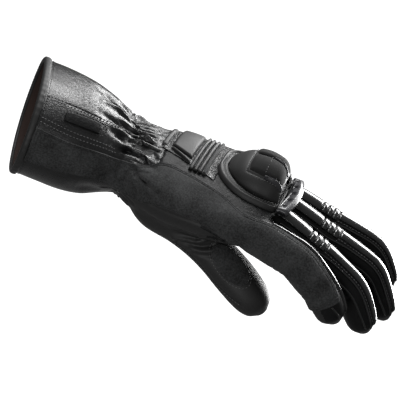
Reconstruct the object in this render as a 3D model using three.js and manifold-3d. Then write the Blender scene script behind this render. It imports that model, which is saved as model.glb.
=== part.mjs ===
// A left-hand gauntlet glove for motorcycling, in its worn form: an open flared cuff,
// a gathered wrist, a hollow hand with four fingers and a thumb, and the protective
// and stretch pieces sewn on it. Millimetres. The origin is the centre of the cuff's
// mouth, +X runs along the forearm to the fingertips, +Z leaves the back of the hand,
// and -Y is the thumb's side.
import * as THREE from "three";
import { mergeVertices } from "three/addons/utils/BufferGeometryUtils.js";
import Module from "manifold-3d";

const wasm = await Module();
wasm.setup();

// Cuff
const CUFF_LENGTH = 74; // mouth to wrist, along the forearm
const MOUTH_WIDTH = 88;
const MOUTH_HEIGHT = 70;
const MOUTH_SLANT = 8.5; // degrees that the cuff's mouth is turned to the thumb's side
const WRIST_WIDTH = 60;
const WRIST_HEIGHT = 46;
const GATHER_DEPTH = 2.4; // crest to valley of the deepest wrist gather

// Hand
const PALM_LENGTH = 98; // wrist to the middle knuckle
const PALM_WIDTH = 96;
const PALM_HEIGHT = 36;
const PALM_PITCH = 8; // degrees that the hand is bent back from the forearm
const PALM_YAW = 9; // degrees that the hand turns to the thumb's side
const FINGER_PITCH = 22; // centre to centre across the knuckles
const FINGER_LENGTH = 110; // the middle finger's, from its knuckle
const FINGER_WIDTH = 24; // the middle finger's
const THUMB_LENGTH = 122; // from its root in the palm
const THUMB_WIDTH = 29;

// Walls and clearances
const WALL = 2.2; // leather and its bonded liner
const LINING_WALL = 1.0;
const SEAM_GAP = 0.3; // between sewn neighbours
const LAY_GAP = 0.45; // under a piece that lies on a curved wall
const GUARD_GAP = 0.6; // under the guard, on the faceted back of the hand
const POD_GAP = 0.6; // under the pods, on the dome

// Sewn-on pieces
const HEM_WIDTH = 5;
const HEM_WALL = 1.3;
const PANEL_WALL = 1.3;
const PATCH_WALL = 1.1;
const PAD_THICKNESS = 3.2;
const RIB_THICKNESS = 3.4;
const RIB_WIDTH = 2.5;
const STRIP_WALL = 1.5;
const GUARD_PLACE = PALM_LENGTH * 0.617; // wrist to its rear seam, along the hand
const GUARD_LENGTH = 46;
const GUARD_WIDTH = 56;
const GUARD_RISE = 15; // above the back of the hand
const GUARD_SHIFT = 4; // its middle line lies this far to the little finger's side
const FLANGE_WALL = 2.6;
const FLANGE_WIDTH = 5.5; // rim outside the dome
const LIP_DEPTH = 7;
const LIP_WALL = 4.6;
const POD_WALL = 1.6;

const rad = THREE.MathUtils.degToRad;
const smooth = THREE.MathUtils.smoothstep;

// Sections of the cuff. `at` is a share of its length from the mouth; the other
// columns are shares of the way from the wrist's size (0) to the mouth's (1).
const CUFF_SECTIONS = [
  { at: 0.0, side: 1.0, top: 1.0, under: 1.04 },
  { at: 0.25, side: 1.0, top: 1.06, under: 1.0 },
  { at: 0.5, side: 0.94, top: 0.92, under: 0.96 },
  { at: 0.7, side: 0.74, top: 0.58, under: 0.74 },
  { at: 0.85, side: 0.4, top: 0.24, under: 0.34 },
  { at: 1.0, side: 0.0, top: 0.0, under: 0.0 },
];

// Sections of the hand. `at` is a share of the palm's length from the wrist, `wide`
// a share of the palm's width, `up` and `down` shares of its height.
const PALM_SECTIONS = [
  { at: 0.0, wide: 0.625, up: 0.64, down: 0.64 },
  { at: 0.05, wide: 0.64, up: 0.62, down: 0.72 },
  { at: 0.12, wide: 0.68, up: 0.62, down: 0.82 },
  { at: 0.3, wide: 0.82, up: 0.6, down: 0.88 },
  { at: 0.55, wide: 0.93, up: 0.58, down: 0.76 },
  { at: 0.8, wide: 0.97, up: 0.52, down: 0.58 },
  { at: 1.0, wide: 0.91, up: 0.45, down: 0.46 },
  { at: 1.13, wide: 0.84, up: 0.32, down: 0.36 },
];

// The fingers, thumb side first. `slot` counts finger pitches from the hand's middle
// line, `set` is how far its knuckle stands ahead, in palm lengths, and `lift` its
// height over the hand's centreline, in palm heights. `splay` turns it to the little
// finger's side and `turn` rolls its back that way, in degrees. `bones` and `bends`
// are its three bones' lengths, in finger lengths, and their slopes in degrees.
const FINGERS = [
  {
    name: "index", slot: -1.56, set: -0.03, lift: 0.056, splay: -3, turn: -4, wide: 1.02,
    bones: [0.345, 0.236, 0.209],
    bends: [4, 27, 42],
  },
  {
    name: "middle", slot: -0.5, set: 0, lift: 0.056, splay: -2, turn: 0, wide: 1,
    bones: [0.427, 0.282, 0.291],
    bends: [12, 18, 48],
  },
  {
    name: "ring", slot: 0.5, set: 0.01, lift: 0, splay: 1, turn: 2, wide: 0.958,
    bones: [0.427, 0.309, 0.345],
    bends: [10, 10, 48],
  },
  {
    name: "little", slot: 1.5, set: -0.02, lift: -0.11, splay: 4, turn: 6, wide: 0.875,
    bones: [0.4, 0.327, 0.291],
    bends: [7, 5, 46],
  },
];

// Sections along a finger. `at` is a share of its length from the knuckle, `wide`,
// `up` and `down` are shares of its width.
const FINGER_SECTIONS = [
  { at: 0.0, wide: 0.87, up: 0.46, down: 0.52 },
  { at: 0.3, wide: 0.86, up: 0.47, down: 0.52 },
  { at: 0.46, wide: 0.9, up: 0.49, down: 0.5 },
  { at: 0.72, wide: 0.86, up: 0.45, down: 0.47 },
  { at: 0.88, wide: 0.84, up: 0.42, down: 0.45 },
  { at: 0.955, wide: 0.72, up: 0.35, down: 0.37 },
  { at: 1.0, wide: 0.36, up: 0.17, down: 0.17 },
];

function tableValue(rows, column, at) {
  const last = rows.length - 1;
  const place = THREE.MathUtils.clamp(at, rows[0].at, rows[last].at);
  let i = 0;
  while (i < last - 1 && place > rows[i + 1].at) i += 1;
  const span = rows[i + 1].at - rows[i].at;
  const t = (place - rows[i].at) / span;
  const slope = (j) => {
    const a = Math.max(j - 1, 0);
    const b = Math.min(j + 1, last);
    return (rows[b][column] - rows[a][column]) / (rows[b].at - rows[a].at);
  };
  const t2 = t * t;
  const t3 = t2 * t;
  return (
    (2 * t3 - 3 * t2 + 1) * rows[i][column] +
    (t3 - 2 * t2 + t) * span * slope(i) +
    (3 * t2 - 2 * t3) * rows[i + 1][column] +
    (t3 - t2) * span * slope(i + 1)
  );
}

// A centreline that starts at `start` and is bent in one plane: `slopeAt` gives its
// slope below the plane's level at a length, `heading` turns the plane about Z.
function bentPath(start, heading, turn, length, slopeAt, backLength = 0) {
  const STEP = 0.5;
  const ahead = new THREE.Vector3(Math.cos(rad(heading)), Math.sin(rad(heading)), 0);
  const level = new THREE.Vector3(-ahead.y, ahead.x, 0);
  const points = [];
  const backSteps = Math.round(backLength / STEP);
  const steps = Math.round(length / STEP);
  const directionAt = (s) => {
    const slope = rad(slopeAt(s));
    return ahead.clone().multiplyScalar(Math.cos(slope)).setZ(-Math.sin(slope));
  };
  let p = start.clone().addScaledVector(directionAt(0), -backSteps * STEP);
  for (let i = -backSteps; i <= steps; i += 1) {
    points.push(p.clone());
    p.addScaledVector(directionAt(Math.max(i + 0.5, 0) * STEP), STEP);
  }
  return (s) => {
    const x = THREE.MathUtils.clamp(s / STEP + backSteps, 0, points.length - 1.001);
    const i = Math.floor(x);
    const centre = points[i].clone().lerp(points[i + 1], x - i);
    const along = directionAt(Math.max(s, 0));
    const side = level.clone().applyAxisAngle(along, rad(turn));
    const up = new THREE.Vector3().crossVectors(along, side);
    return { centre, along, side, up };
  };
}

// A tube round a centreline. point(s, angle, offset) is on its skin: the angle runs in
// degrees from the back of the hand (0) to the thumb's side (90) and the palm (180).
function tube(frameAt, sizeAt, square) {
  const point = (s, angle, offset = 0) => {
    const { centre, side, up } = frameAt(s);
    const size = sizeAt(s, angle);
    const c = Math.cos(rad(angle));
    const d = Math.sin(rad(angle));
    const high = (c > 0 ? size.up : size.down) + offset;
    const wide = size.wide + offset;
    const reach = (Math.abs(d) / wide) ** square + (Math.abs(c) / high) ** square;
    const r = reach ** (-1 / square) - (size.draw ?? 0);
    return centre.clone().addScaledVector(up, c * r).addScaledVector(side, -d * r);
  };
  return { point };
}

// Wrist gathers: lengthwise folds where the elastic draws the leather in, one in every
// GATHER_STEP degrees. `depth` is a share of the deepest, from the fold at -180 on.
const GATHER_AT = CUFF_LENGTH * 1.07;
const GATHER_REACH = CUFF_LENGTH * 0.24;
const GATHER_STEP = 18;
const GATHER_SHARES = [
  0.3, 0.4, 0.5, 0.6, 0.8, 0.7, 1.0, 0.8, 1.0, 0.9,
  1.0, 0.7, 1.0, 0.9, 0.2, 0.0, 0.1, 0.4, 0.5, 0.4,
];

function gatherDraw(s, angle) {
  const along = Math.exp(-(((s - GATHER_AT) / GATHER_REACH) ** 2));
  if (angle === undefined) return GATHER_DEPTH * along;
  const place = (((angle + 180) % 360) + 360) % 360 / GATHER_STEP;
  const nearest = Math.round(place);
  const valley = 1 - 2 * Math.abs(place - nearest);
  return GATHER_DEPTH * along * valley * GATHER_SHARES[nearest % GATHER_SHARES.length];
}

// The cuff and the hand follow one centreline, straight to the wrist and then bent
// back and to the thumb's side.
const WRIST_BLEND = 26;
const ARM_LENGTH = CUFF_LENGTH + PALM_LENGTH;

function armFrame(s) {
  const past = Math.max(s - CUFF_LENGTH + WRIST_BLEND / 2, 0);
  const bent = past < WRIST_BLEND ? (past * past) / (2 * WRIST_BLEND) : past - WRIST_BLEND / 2;
  const share = Math.min(past / WRIST_BLEND, 1);
  const slant = Math.tan(rad(MOUTH_SLANT)) * Math.max(1 - s / CUFF_LENGTH, 0);
  const centre = new THREE.Vector3(s, -bent * Math.tan(rad(PALM_YAW)), bent * Math.tan(rad(PALM_PITCH)));
  const along = new THREE.Vector3(
    1,
    slant - Math.tan(rad(PALM_YAW)) * share,
    Math.tan(rad(PALM_PITCH)) * share,
  ).normalize();
  const side = new THREE.Vector3(0, 0, 1).cross(along).normalize();
  const up = new THREE.Vector3().crossVectors(along, side);
  return { centre, along, side, up };
}

function armSize(s, angle) {
  const draw = gatherDraw(s, angle);
  if (s <= CUFF_LENGTH) {
    const at = s / CUFF_LENGTH;
    const part = (column) => tableValue(CUFF_SECTIONS, column, at);
    const high = (MOUTH_HEIGHT - WRIST_HEIGHT) / 2;
    return {
      wide: WRIST_WIDTH / 2 + (part("side") * (MOUTH_WIDTH - WRIST_WIDTH)) / 2,
      up: WRIST_HEIGHT / 2 + part("top") * high,
      down: WRIST_HEIGHT / 2 + part("under") * high,
      draw,
    };
  }
  const at = (s - CUFF_LENGTH) / PALM_LENGTH;
  return {
    wide: (tableValue(PALM_SECTIONS, "wide", at) * PALM_WIDTH) / 2,
    up: tableValue(PALM_SECTIONS, "up", at) * PALM_HEIGHT,
    down: tableValue(PALM_SECTIONS, "down", at) * PALM_HEIGHT,
    draw,
  };
}

const ARM_SQUARE = 2.25;
const arm = tube(armFrame, armSize, ARM_SQUARE);
const armBore = tube(armFrame, (s) => armSize(s), ARM_SQUARE);

// Fingers start inside the hand, and their sleeves meet it at the crotch.
const FINGER_ROOT = 20; // behind the knuckle
const CROTCH = 20; // ahead of the knuckle
const BEND_REACH = 20;

function fingerTube(finger) {
  const at = armFrame(ARM_LENGTH + finger.set * PALM_LENGTH);
  const knuckle = at.centre
    .clone()
    .addScaledVector(at.side, finger.slot * FINGER_PITCH)
    .addScaledVector(at.up, finger.lift * PALM_HEIGHT);
  const [first, second, third] = finger.bones.map((share) => share * FINGER_LENGTH);
  const [a, b, c] = finger.bends;
  const slopeAt = (s) => {
    const lead = smooth(s, -BEND_REACH / 2, BEND_REACH);
    const mid = smooth(s, first - BEND_REACH / 2, first + BEND_REACH / 2);
    const tip = smooth(s, first + second - BEND_REACH / 2, first + second + BEND_REACH / 2);
    return -PALM_PITCH + (a + PALM_PITCH) * lead + (b - a) * mid + (c - b) * tip;
  };
  const length = first + second + third;
  const frameAt = bentPath(knuckle, finger.splay - PALM_YAW, finger.turn, length, slopeAt, FINGER_ROOT);
  const wide = finger.wide * FINGER_WIDTH;
  const sizeAt = (s) => {
    const share = s / length;
    return {
      wide: (tableValue(FINGER_SECTIONS, "wide", share) * wide) / 2,
      up: tableValue(FINGER_SECTIONS, "up", share) * wide,
      down: tableValue(FINGER_SECTIONS, "down", share) * wide,
    };
  };
  return { ...tube(frameAt, sizeAt, 2.2), length };
}

// The thumb's root is in the heel of the hand. `start` is a share of the palm's
// length past the wrist, of its width and of its height; the rest is as above.
const THUMB = {
  start: [0.122, -0.146, -0.222],
  heading: -18,
  turn: -30,
  bones: [0.484, 0.278, 0.238],
  bends: [8, 21, 24],
};
const THUMB_SECTIONS = [
  { at: 0.0, wide: 0.6, up: 0.3, down: 0.3 },
  { at: 0.06, wide: 1.0, up: 0.52, down: 0.54 },
  { at: 0.18, wide: 1.3, up: 0.6, down: 0.66 },
  { at: 0.35, wide: 1.15, up: 0.5, down: 0.56 },
  { at: 0.6, wide: 1.02, up: 0.46, down: 0.5 },
  { at: 0.76, wide: 1.08, up: 0.48, down: 0.5 },
  { at: 0.9, wide: 0.98, up: 0.44, down: 0.45 },
  { at: 0.97, wide: 0.72, up: 0.32, down: 0.33 },
  { at: 1.0, wide: 0.34, up: 0.15, down: 0.15 },
];
const THUMB_JOIN = THUMB_LENGTH * 0.59; // where its sleeve is sewn into the hand

function thumbTube() {
  const [first, second, third] = THUMB.bones.map((share) => share * THUMB_LENGTH);
  const [ahead, across, over] = THUMB.start;
  const start = new THREE.Vector3(
    CUFF_LENGTH + ahead * PALM_LENGTH,
    across * PALM_WIDTH,
    over * PALM_HEIGHT,
  );
  const [a, b, c] = THUMB.bends;
  const slopeAt = (s) => {
    const mid = smooth(s, first - BEND_REACH, first + BEND_REACH);
    const tip = smooth(s, first + second - BEND_REACH, first + second + BEND_REACH);
    return a + (b - a) * mid + (c - b) * tip;
  };
  const length = first + second + third;
  const frameAt = bentPath(start, THUMB.heading, THUMB.turn, length, slopeAt);
  const sizeAt = (s) => {
    const share = s / length;
    return {
      wide: (tableValue(THUMB_SECTIONS, "wide", share) * THUMB_WIDTH) / 2,
      up: tableValue(THUMB_SECTIONS, "up", share) * THUMB_WIDTH,
      down: tableValue(THUMB_SECTIONS, "down", share) * THUMB_WIDTH,
    };
  };
  return { ...tube(frameAt, sizeAt, 2.1), length };
}

// Solids
function solidFrom(positions, triangles) {
  const geometry = new THREE.BufferGeometry();
  geometry.setAttribute("position", new THREE.Float32BufferAttribute(positions, 3));
  geometry.setIndex(triangles);
  const merged = mergeVertices(geometry, 1e-4);
  const mesh = new wasm.Mesh({
    numProp: 3,
    vertProperties: merged.attributes.position.array,
    triVerts: new Uint32Array(merged.index.array),
  });
  return new wasm.Manifold(mesh);
}

function facingOut(positions, triangles) {
  const made = solidFrom(positions, triangles);
  return made.volume() > 0 ? made : solidFrom(positions, triangles.reverse());
}

function spread(from, to, count) {
  return Array.from({ length: count + 1 }, (_, i) => from + ((to - from) * i) / count);
}

// Rings of equal count, in order along the piece, closed at both ends by a fan.
function ringSolid(rings) {
  const n = rings[0].length;
  const positions = rings.flat().flatMap((p) => [p.x, p.y, p.z]);
  const triangles = [];
  for (let i = 0; i + 1 < rings.length; i += 1) {
    for (let j = 0; j < n; j += 1) {
      const k = (j + 1) % n;
      const a = i * n + j;
      const b = i * n + k;
      triangles.push(a, b, b + n, a, b + n, a + n);
    }
  }
  const cap = (ring, first, turned) => {
    const middle = ring.reduce((sum, p) => sum.add(p), new THREE.Vector3()).divideScalar(n);
    const hub = positions.length / 3;
    positions.push(middle.x, middle.y, middle.z);
    for (let j = 0; j < n; j += 1) {
      const k = (j + 1) % n;
      if (turned) triangles.push(hub, first + k, first + j);
      else triangles.push(hub, first + j, first + k);
    }
  };
  cap(rings[0], 0, true);
  cap(rings[rings.length - 1], (rings.length - 1) * n, false);
  return facingOut(positions, triangles);
}

// A closed loop of closed profiles.
function loopSolid(profiles) {
  const n = profiles[0].length;
  const count = profiles.length;
  const positions = profiles.flat().flatMap((p) => [p.x, p.y, p.z]);
  const triangles = [];
  for (let i = 0; i < count; i += 1) {
    const next = ((i + 1) % count) * n;
    for (let j = 0; j < n; j += 1) {
      const k = (j + 1) % n;
      triangles.push(i * n + j, i * n + k, next + k, i * n + j, next + k, next + j);
    }
  }
  return facingOut(positions, triangles);
}

function tubeSolid(skin, places, around, offset) {
  const angles = spread(0, 360, around).slice(0, -1);
  return ringSolid(places.map((s) => angles.map((a) => skin.point(s, a, offset))));
}

// A sheet between two surfaces: top(u, v) and base(u, v), with u and v from 0 to 1.
function sheet(top, base, along, across) {
  const positions = [];
  const triangles = [];
  const rows = spread(0, 1, along);
  const columns = spread(0, 1, across);
  for (const surface of [top, base]) {
    for (const u of rows) {
      for (const v of columns) positions.push(...surface(u, v).toArray());
    }
  }
  const under = rows.length * columns.length;
  const at = (i, j) => i * columns.length + j;
  const quad = (a, b, c, d) => triangles.push(a, b, c, a, c, d);
  for (let i = 0; i < along; i += 1) {
    for (let j = 0; j < across; j += 1) {
      quad(at(i, j), at(i, j + 1), at(i + 1, j + 1), at(i + 1, j));
      quad(under + at(i, j), under + at(i + 1, j), under + at(i + 1, j + 1), under + at(i, j + 1));
    }
    quad(at(i + 1, 0), under + at(i + 1, 0), under + at(i, 0), at(i, 0));
    quad(at(i, across), under + at(i, across), under + at(i + 1, across), at(i + 1, across));
  }
  for (let j = 0; j < across; j += 1) {
    quad(at(0, j), under + at(0, j), under + at(0, j + 1), at(0, j + 1));
    quad(at(along, j + 1), under + at(along, j + 1), under + at(along, j), at(along, j));
  }
  return facingOut(positions, triangles);
}

const mix = THREE.MathUtils.lerp;

// A swell from 0 at the edges to 1 in the middle, full for a small `power`.
const swell = (t, power) => (1 - Math.abs(2 * t - 1) ** 2) ** power;

// A strip laid on a tube from one length to another. span(u) gives its two edges in
// degrees; it is `thick` in the middle and `edge` of that at its sides.
function laid(skin, from, to, span, thick, along, across, edge = 0.6, gap = LAY_GAP) {
  const place = (u, v, high) => {
    const [a, b] = span(u);
    return skin.point(mix(from, to, u), mix(a, b, v), high);
  };
  const top = (u, v) => place(u, v, gap + thick * mix(edge, 1, swell(v, 0.6) * swell(u, 0.3)));
  return sheet(top, (u, v) => place(u, v, gap), along, across);
}

// Materials
const finish = (color, roughness) => new THREE.MeshStandardMaterial({ color, roughness });
const SMOOTH_LEATHER = finish(0x1c1c1d, 0.38);
const GRAIN_LEATHER = finish(0x1e1f1f, 0.5);
const MATTE_LEATHER = finish(0x282a2b, 0.85);
const PALM_LEATHER = finish(0x212223, 0.7);
const POD_CLOTH = finish(0x111213, 0.75);
const GLOSS_TRIM = finish(0x3a3c3f, 0.18);
const LINING_CLOTH = finish(0x1d1311, 0.95);

const glove = new THREE.Group();
glove.name = "motorcycle_glove";

function add(name, solid, material) {
  const { vertProperties, triVerts } = solid.getMesh();
  const geometry = new THREE.BufferGeometry();
  geometry.setAttribute("position", new THREE.Float32BufferAttribute(vertProperties, 3));
  geometry.setIndex(new THREE.Uint32BufferAttribute(triVerts, 1));
  geometry.computeVertexNormals();
  const mesh = new THREE.Mesh(geometry, material);
  mesh.name = name;
  glove.add(mesh);
}

// Cuff: a leather shell, its lining, and a binding that wraps the mouth's edge.
const AROUND_ARM = 40;
const AROUND_LINER = 20;
const CUFF_WALL = 1.6;
const cuffPlaces = (shares) => shares.map((share) => share * CUFF_LENGTH);
const palmPlaces = (shares) => shares.map((share) => CUFF_LENGTH + share * PALM_LENGTH);
const CUFF_START = HEM_WALL + SEAM_GAP;
const CUFF_PLACES = [
  CUFF_START,
  ...cuffPlaces([0.19, 0.38, 0.55, 0.7, 0.81, 0.91]),
  CUFF_LENGTH - SEAM_GAP,
];
const BORE_PLACES = cuffPlaces([-0.05, 0.27, 0.55, 0.76, 0.89, 1, 1.05]);
const LINING_OUT = -CUFF_WALL - SEAM_GAP;
const LINING_EASE = 0.2; // the lining has fewer sides than the cuff
const LINING_IN = LINING_OUT - LINING_WALL;

function shell(skin, outerAt, outer, innerSkin, innerAt, inner, around) {
  const body = tubeSolid(skin, outerAt, around, outer);
  return body.subtract(tubeSolid(innerSkin, innerAt, around, inner));
}

add(
  "gauntlet_cuff",
  shell(arm, CUFF_PLACES, 0, armBore, BORE_PLACES, -CUFF_WALL, AROUND_ARM),
  GRAIN_LEATHER,
);

const LINING_PLACES = [CUFF_START, ...cuffPlaces([0.27, 0.55, 0.76, 0.89])];
const liningBore = BORE_PLACES.slice(0, -1);
add(
  "cuff_lining",
  shell(armBore, LINING_PLACES, LINING_OUT - LINING_EASE, armBore, liningBore, LINING_IN, AROUND_LINER),
  LINING_CLOTH,
);

function hem() {
  const outside = SEAM_GAP + HEM_WALL;
  const profile = [
    [0, outside],
    [HEM_WIDTH, outside],
    [HEM_WIDTH, SEAM_GAP],
    [HEM_WALL, SEAM_GAP],
    [HEM_WALL, LINING_IN],
    [0, LINING_IN],
  ];
  const angles = spread(0, 360, AROUND_ARM).slice(0, -1);
  return loopSolid(angles.map((a) => profile.map(([s, high]) => arm.point(s, a, high))));
}

add("cuff_hem", hem(), SMOOTH_LEATHER);

// Hand with the roots of the fingers and thumb
const fingers = FINGERS.map((finger) => ({ ...finger, skin: fingerTube(finger) }));
const thumb = thumbTube();
const AROUND_FINGER = 16;
const AROUND_THUMB = 20;
const AROUND_BORE = 10;
const BORE_PAST = 4; // a bore runs past the end that it opens
const HAND_END = CUFF_LENGTH + PALM_LENGTH * 1.13;
const HAND_PLACES = palmPlaces([0, 0.07, 0.16, 0.27, 0.41, 0.57, 0.76, 0.92, 1.13]);
const ROOT_PLACES = [-FINGER_ROOT, 2, CROTCH];
const THUMB_PLACES = [0, 0.1, 0.28, 0.53, 0.75, 1].map((share) => share * THUMB_JOIN);

function handBody(offset) {
  let body = tubeSolid(arm, HAND_PLACES, AROUND_ARM, offset);
  for (const { skin } of fingers) body = body.add(tubeSolid(skin, ROOT_PLACES, AROUND_FINGER, offset));
  return body.add(tubeSolid(thumb, THUMB_PLACES, AROUND_THUMB, offset));
}

function handBore() {
  const places = [...palmPlaces([-0.06, 0, 0.07, 0.2, 0.42, 0.72, 1]), HAND_END - WALL];
  let bore = tubeSolid(armBore, places, AROUND_LINER, -WALL);
  for (const { skin } of fingers) {
    bore = bore.add(tubeSolid(skin, [-FINGER_ROOT + WALL, CROTCH + BORE_PAST], AROUND_BORE, -WALL));
  }
  const thumbPlaces = [...THUMB_PLACES.slice(1, -1), THUMB_JOIN + BORE_PAST];
  return bore.add(tubeSolid(thumb, thumbPlaces, AROUND_BORE, -WALL));
}

add("hand_shell", handBody(0).subtract(handBore()), PALM_LEATHER);

// Sleeves of the fingers and thumb. `places` are shares of the sleeve's length.
const SLEEVE_PLACES = [0.16, 0.32, 0.46, 0.58, 0.7, 0.81, 0.91, 0.97, 1];
const THUMB_SLEEVE_PLACES = [0.22, 0.42, 0.6, 0.76, 0.88, 0.95, 1];

function sleeve(skin, from, places, around) {
  const outer = places.map((p) => mix(from, skin.length, p));
  const inner = places.filter((_, i) => i % 2 === 1).map((p) => mix(from, skin.length - WALL, p));
  return tubeSolid(skin, [from + SEAM_GAP, ...outer], around, 0).subtract(
    tubeSolid(skin, [from - BORE_PAST, ...inner], AROUND_BORE, -WALL),
  );
}

for (const { name, skin } of fingers) {
  add(`${name}_sleeve`, sleeve(skin, CROTCH, SLEEVE_PLACES, AROUND_FINGER), PALM_LEATHER);
}
add("thumb_sleeve", sleeve(thumb, THUMB_JOIN, THUMB_SLEEVE_PLACES, AROUND_THUMB), PALM_LEATHER);

// Matte side panel, from the hem along the thumb's side to the end of the index
// finger. `upper` and `lower` are its edges' angles on the arm and on the index.
const PANEL_ON_ARM = [
  { at: 0.0, upper: 65, lower: 98 },
  { at: 0.15, upper: 66, lower: 95 },
  { at: 0.3, upper: 64.5, lower: 92 },
  { at: 0.41, upper: 65, lower: 104 },
  { at: 0.51, upper: 61, lower: 102 },
  { at: 0.58, upper: 49, lower: 96 },
  { at: 0.64, upper: 49, lower: 91 },
  { at: 0.78, upper: 56, lower: 89 },
  { at: 0.92, upper: 66, lower: 96 },
  { at: 1.0, upper: 70, lower: 104 },
];
const PANEL_ON_INDEX = [
  { at: 0.0, upper: 30, lower: 140 },
  { at: 0.18, upper: 18, lower: 150 },
  { at: 0.36, upper: 2, lower: 160 },
  { at: 0.58, upper: 5, lower: 165 },
  { at: 0.84, upper: 10, lower: 165 },
  { at: 1.0, upper: 26, lower: 160 },
];
const PANEL_START = 1 - FINGER_ROOT; // along the index finger, from its knuckle
const PANEL_END = 0.83; // a share of the index finger's length
const INDEX = fingers[0].skin;

function panelPart(skin, table, from, to, along, across) {
  const place = (u, v, high) => {
    const angle = mix(tableValue(table, "upper", u), tableValue(table, "lower", u), v);
    return skin.point(mix(from, to, u), angle, high);
  };
  return sheet(
    (u, v) => place(u, v, LAY_GAP + PANEL_WALL),
    (u, v) => place(u, v, -1),
    along,
    across,
  );
}

function sidePanel() {
  const onArm = panelPart(arm, PANEL_ON_ARM, HEM_WIDTH + SEAM_GAP, ARM_LENGTH + 2, 18, 4);
  const onIndex = panelPart(INDEX, PANEL_ON_INDEX, PANEL_START, PANEL_END * INDEX.length, 11, 6);
  const places = [...CUFF_PLACES.slice(0, -1), ...HAND_PLACES];
  const armBody = tubeSolid(arm, places, AROUND_ARM, LAY_GAP);
  const sleevePlaces = SLEEVE_PLACES.map((p) => mix(CROTCH, INDEX.length, p));
  const indexBody = tubeSolid(INDEX, [...ROOT_PLACES, ...sleevePlaces], AROUND_FINGER, LAY_GAP);
  const thumbBody = tubeSolid(thumb, THUMB_PLACES, AROUND_THUMB, LAY_GAP);
  return onArm.add(onIndex).subtract(armBody.add(indexBody).add(thumbBody));
}

add("side_panel", sidePanel(), MATTE_LEATHER);

// Bare patch on the cuff
const [PATCH_BACK, PATCH_FRONT] = cuffPlaces([0.304, 0.649]);
const cuffPatchSpan = (u) => [mix(41.5, 36, u), mix(49.5, 48, u)];
add("cuff_patch", laid(arm, PATCH_BACK, PATCH_FRONT, cuffPatchSpan, PATCH_WALL, 4, 2, 0.8), SMOOTH_LEATHER);

// Pads on the back of the hand, between the wrist gathers and the guard. `from` and
// `to` are shares of the palm's length; `back` and `front` are the angles of its two
// sides at those ends, and `thick` is a share of the pads' thickness.
const BACK_PADS = [
  {
    name: "back_edge_strip", from: 0.209, to: 0.25, thick: 0.65, along: 1, across: 8,
    back: [-52, 14],
    front: [-52, 14],
  },
  {
    name: "back_pad", from: 0.276, to: 0.444, thick: 1, along: 3, across: 7,
    back: [-57, 8],
    front: [-57, 24],
  },
  {
    name: "back_side_pad", from: 0.281, to: 0.444, thick: 0.75, along: 4, across: 2,
    back: [11, 17],
    front: [27, 36],
  },
];
for (const pad of BACK_PADS) {
  const [from, to] = palmPlaces([pad.from, pad.to]);
  const span = (u) => [mix(pad.back[0], pad.front[0], u), mix(pad.back[1], pad.front[1], u)];
  const solid = laid(arm, from, to, span, PAD_THICKNESS * pad.thick, pad.along, pad.across, 0.5);
  add(pad.name, solid, SMOOTH_LEATHER);
}

// Ribs across the back of the hand
const RIB_COUNT = 4;
const RIB_GAP = 0.6;
const [RIB_BACK] = palmPlaces([0.453]);
for (let i = 0; i < RIB_COUNT; i += 1) {
  const from = RIB_BACK + i * (RIB_WIDTH + RIB_GAP);
  const rib = laid(arm, from, from + RIB_WIDTH, () => [-58, 44], RIB_THICKNESS, 2, 7);
  add(`back_rib_${i + 1}`, rib, i < RIB_COUNT - 1 ? SMOOTH_LEATHER : MATTE_LEATHER);
}

// Knuckle guard. It is laid out over the back of the hand: `across` is measured from
// the hand's middle line towards the thumb's side, `rise` above the leather.
function backPoint(s, across, rise) {
  const { centre, side, up } = armFrame(s);
  const { up: high, wide } = armSize(s, 0);
  const level = high * (1 - Math.min(Math.abs(across) / wide, 1) ** ARM_SQUARE) ** (1 / ARM_SQUARE);
  return centre.clone().addScaledVector(side, -across).addScaledVector(up, level + rise);
}

// Outline and height of the guard. `at` is a share of its length from the wrist's
// side, `near` and `far` are shares of its half width, `rise` a share of its rise.
const GUARD_SECTIONS = [
  { at: 0.0, near: 0.34, far: 0.5, rise: 0.0 },
  { at: 0.05, near: 0.55, far: 0.68, rise: 0.1 },
  { at: 0.15, near: 0.72, far: 0.84, rise: 0.4 },
  { at: 0.32, near: 0.9, far: 0.98, rise: 0.78 },
  { at: 0.55, near: 1.0, far: 1.0, rise: 1.0 },
  { at: 0.75, near: 0.99, far: 0.98, rise: 1.0 },
  { at: 0.88, near: 0.94, far: 0.92, rise: 0.84 },
  { at: 1.0, near: 0.82, far: 0.86, rise: 0.42 },
];

function guardEdge(u, inset) {
  const half = GUARD_WIDTH / 2;
  const near = tableValue(GUARD_SECTIONS, "near", u) * half - inset - GUARD_SHIFT;
  const far = -tableValue(GUARD_SECTIONS, "far", u) * half + inset - GUARD_SHIFT;
  return [far, near];
}

const GUARD_BACK = CUFF_LENGTH + GUARD_PLACE;
const DOME_BACK = GUARD_BACK + FLANGE_WIDTH;
const DOME_LENGTH = GUARD_LENGTH - FLANGE_WIDTH - 2.5;

// Height of the dome over the leather at a share of its length and of its width.
function domeRise(u, v) {
  const crest = tableValue(GUARD_SECTIONS, "rise", mix(0.06, 0.97, u)) * GUARD_RISE;
  return GUARD_GAP + FLANGE_WALL * 0.75 + crest * swell(v, 0.42);
}

function domePoint(u, v, over = 0) {
  const [far, near] = guardEdge(u, FLANGE_WIDTH);
  return backPoint(DOME_BACK + DOME_LENGTH * u, mix(far, near, v), domeRise(u, v) + over);
}

function domeBase(u, v) {
  const [far, near] = guardEdge(u, FLANGE_WIDTH);
  return backPoint(DOME_BACK + DOME_LENGTH * u, mix(far, near, v), GUARD_GAP);
}

function flangePoint(u, v, high) {
  const [far, near] = guardEdge(u, 0);
  const s = GUARD_BACK + GUARD_LENGTH * u;
  return backPoint(s, mix(far, near, v), high);
}

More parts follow.
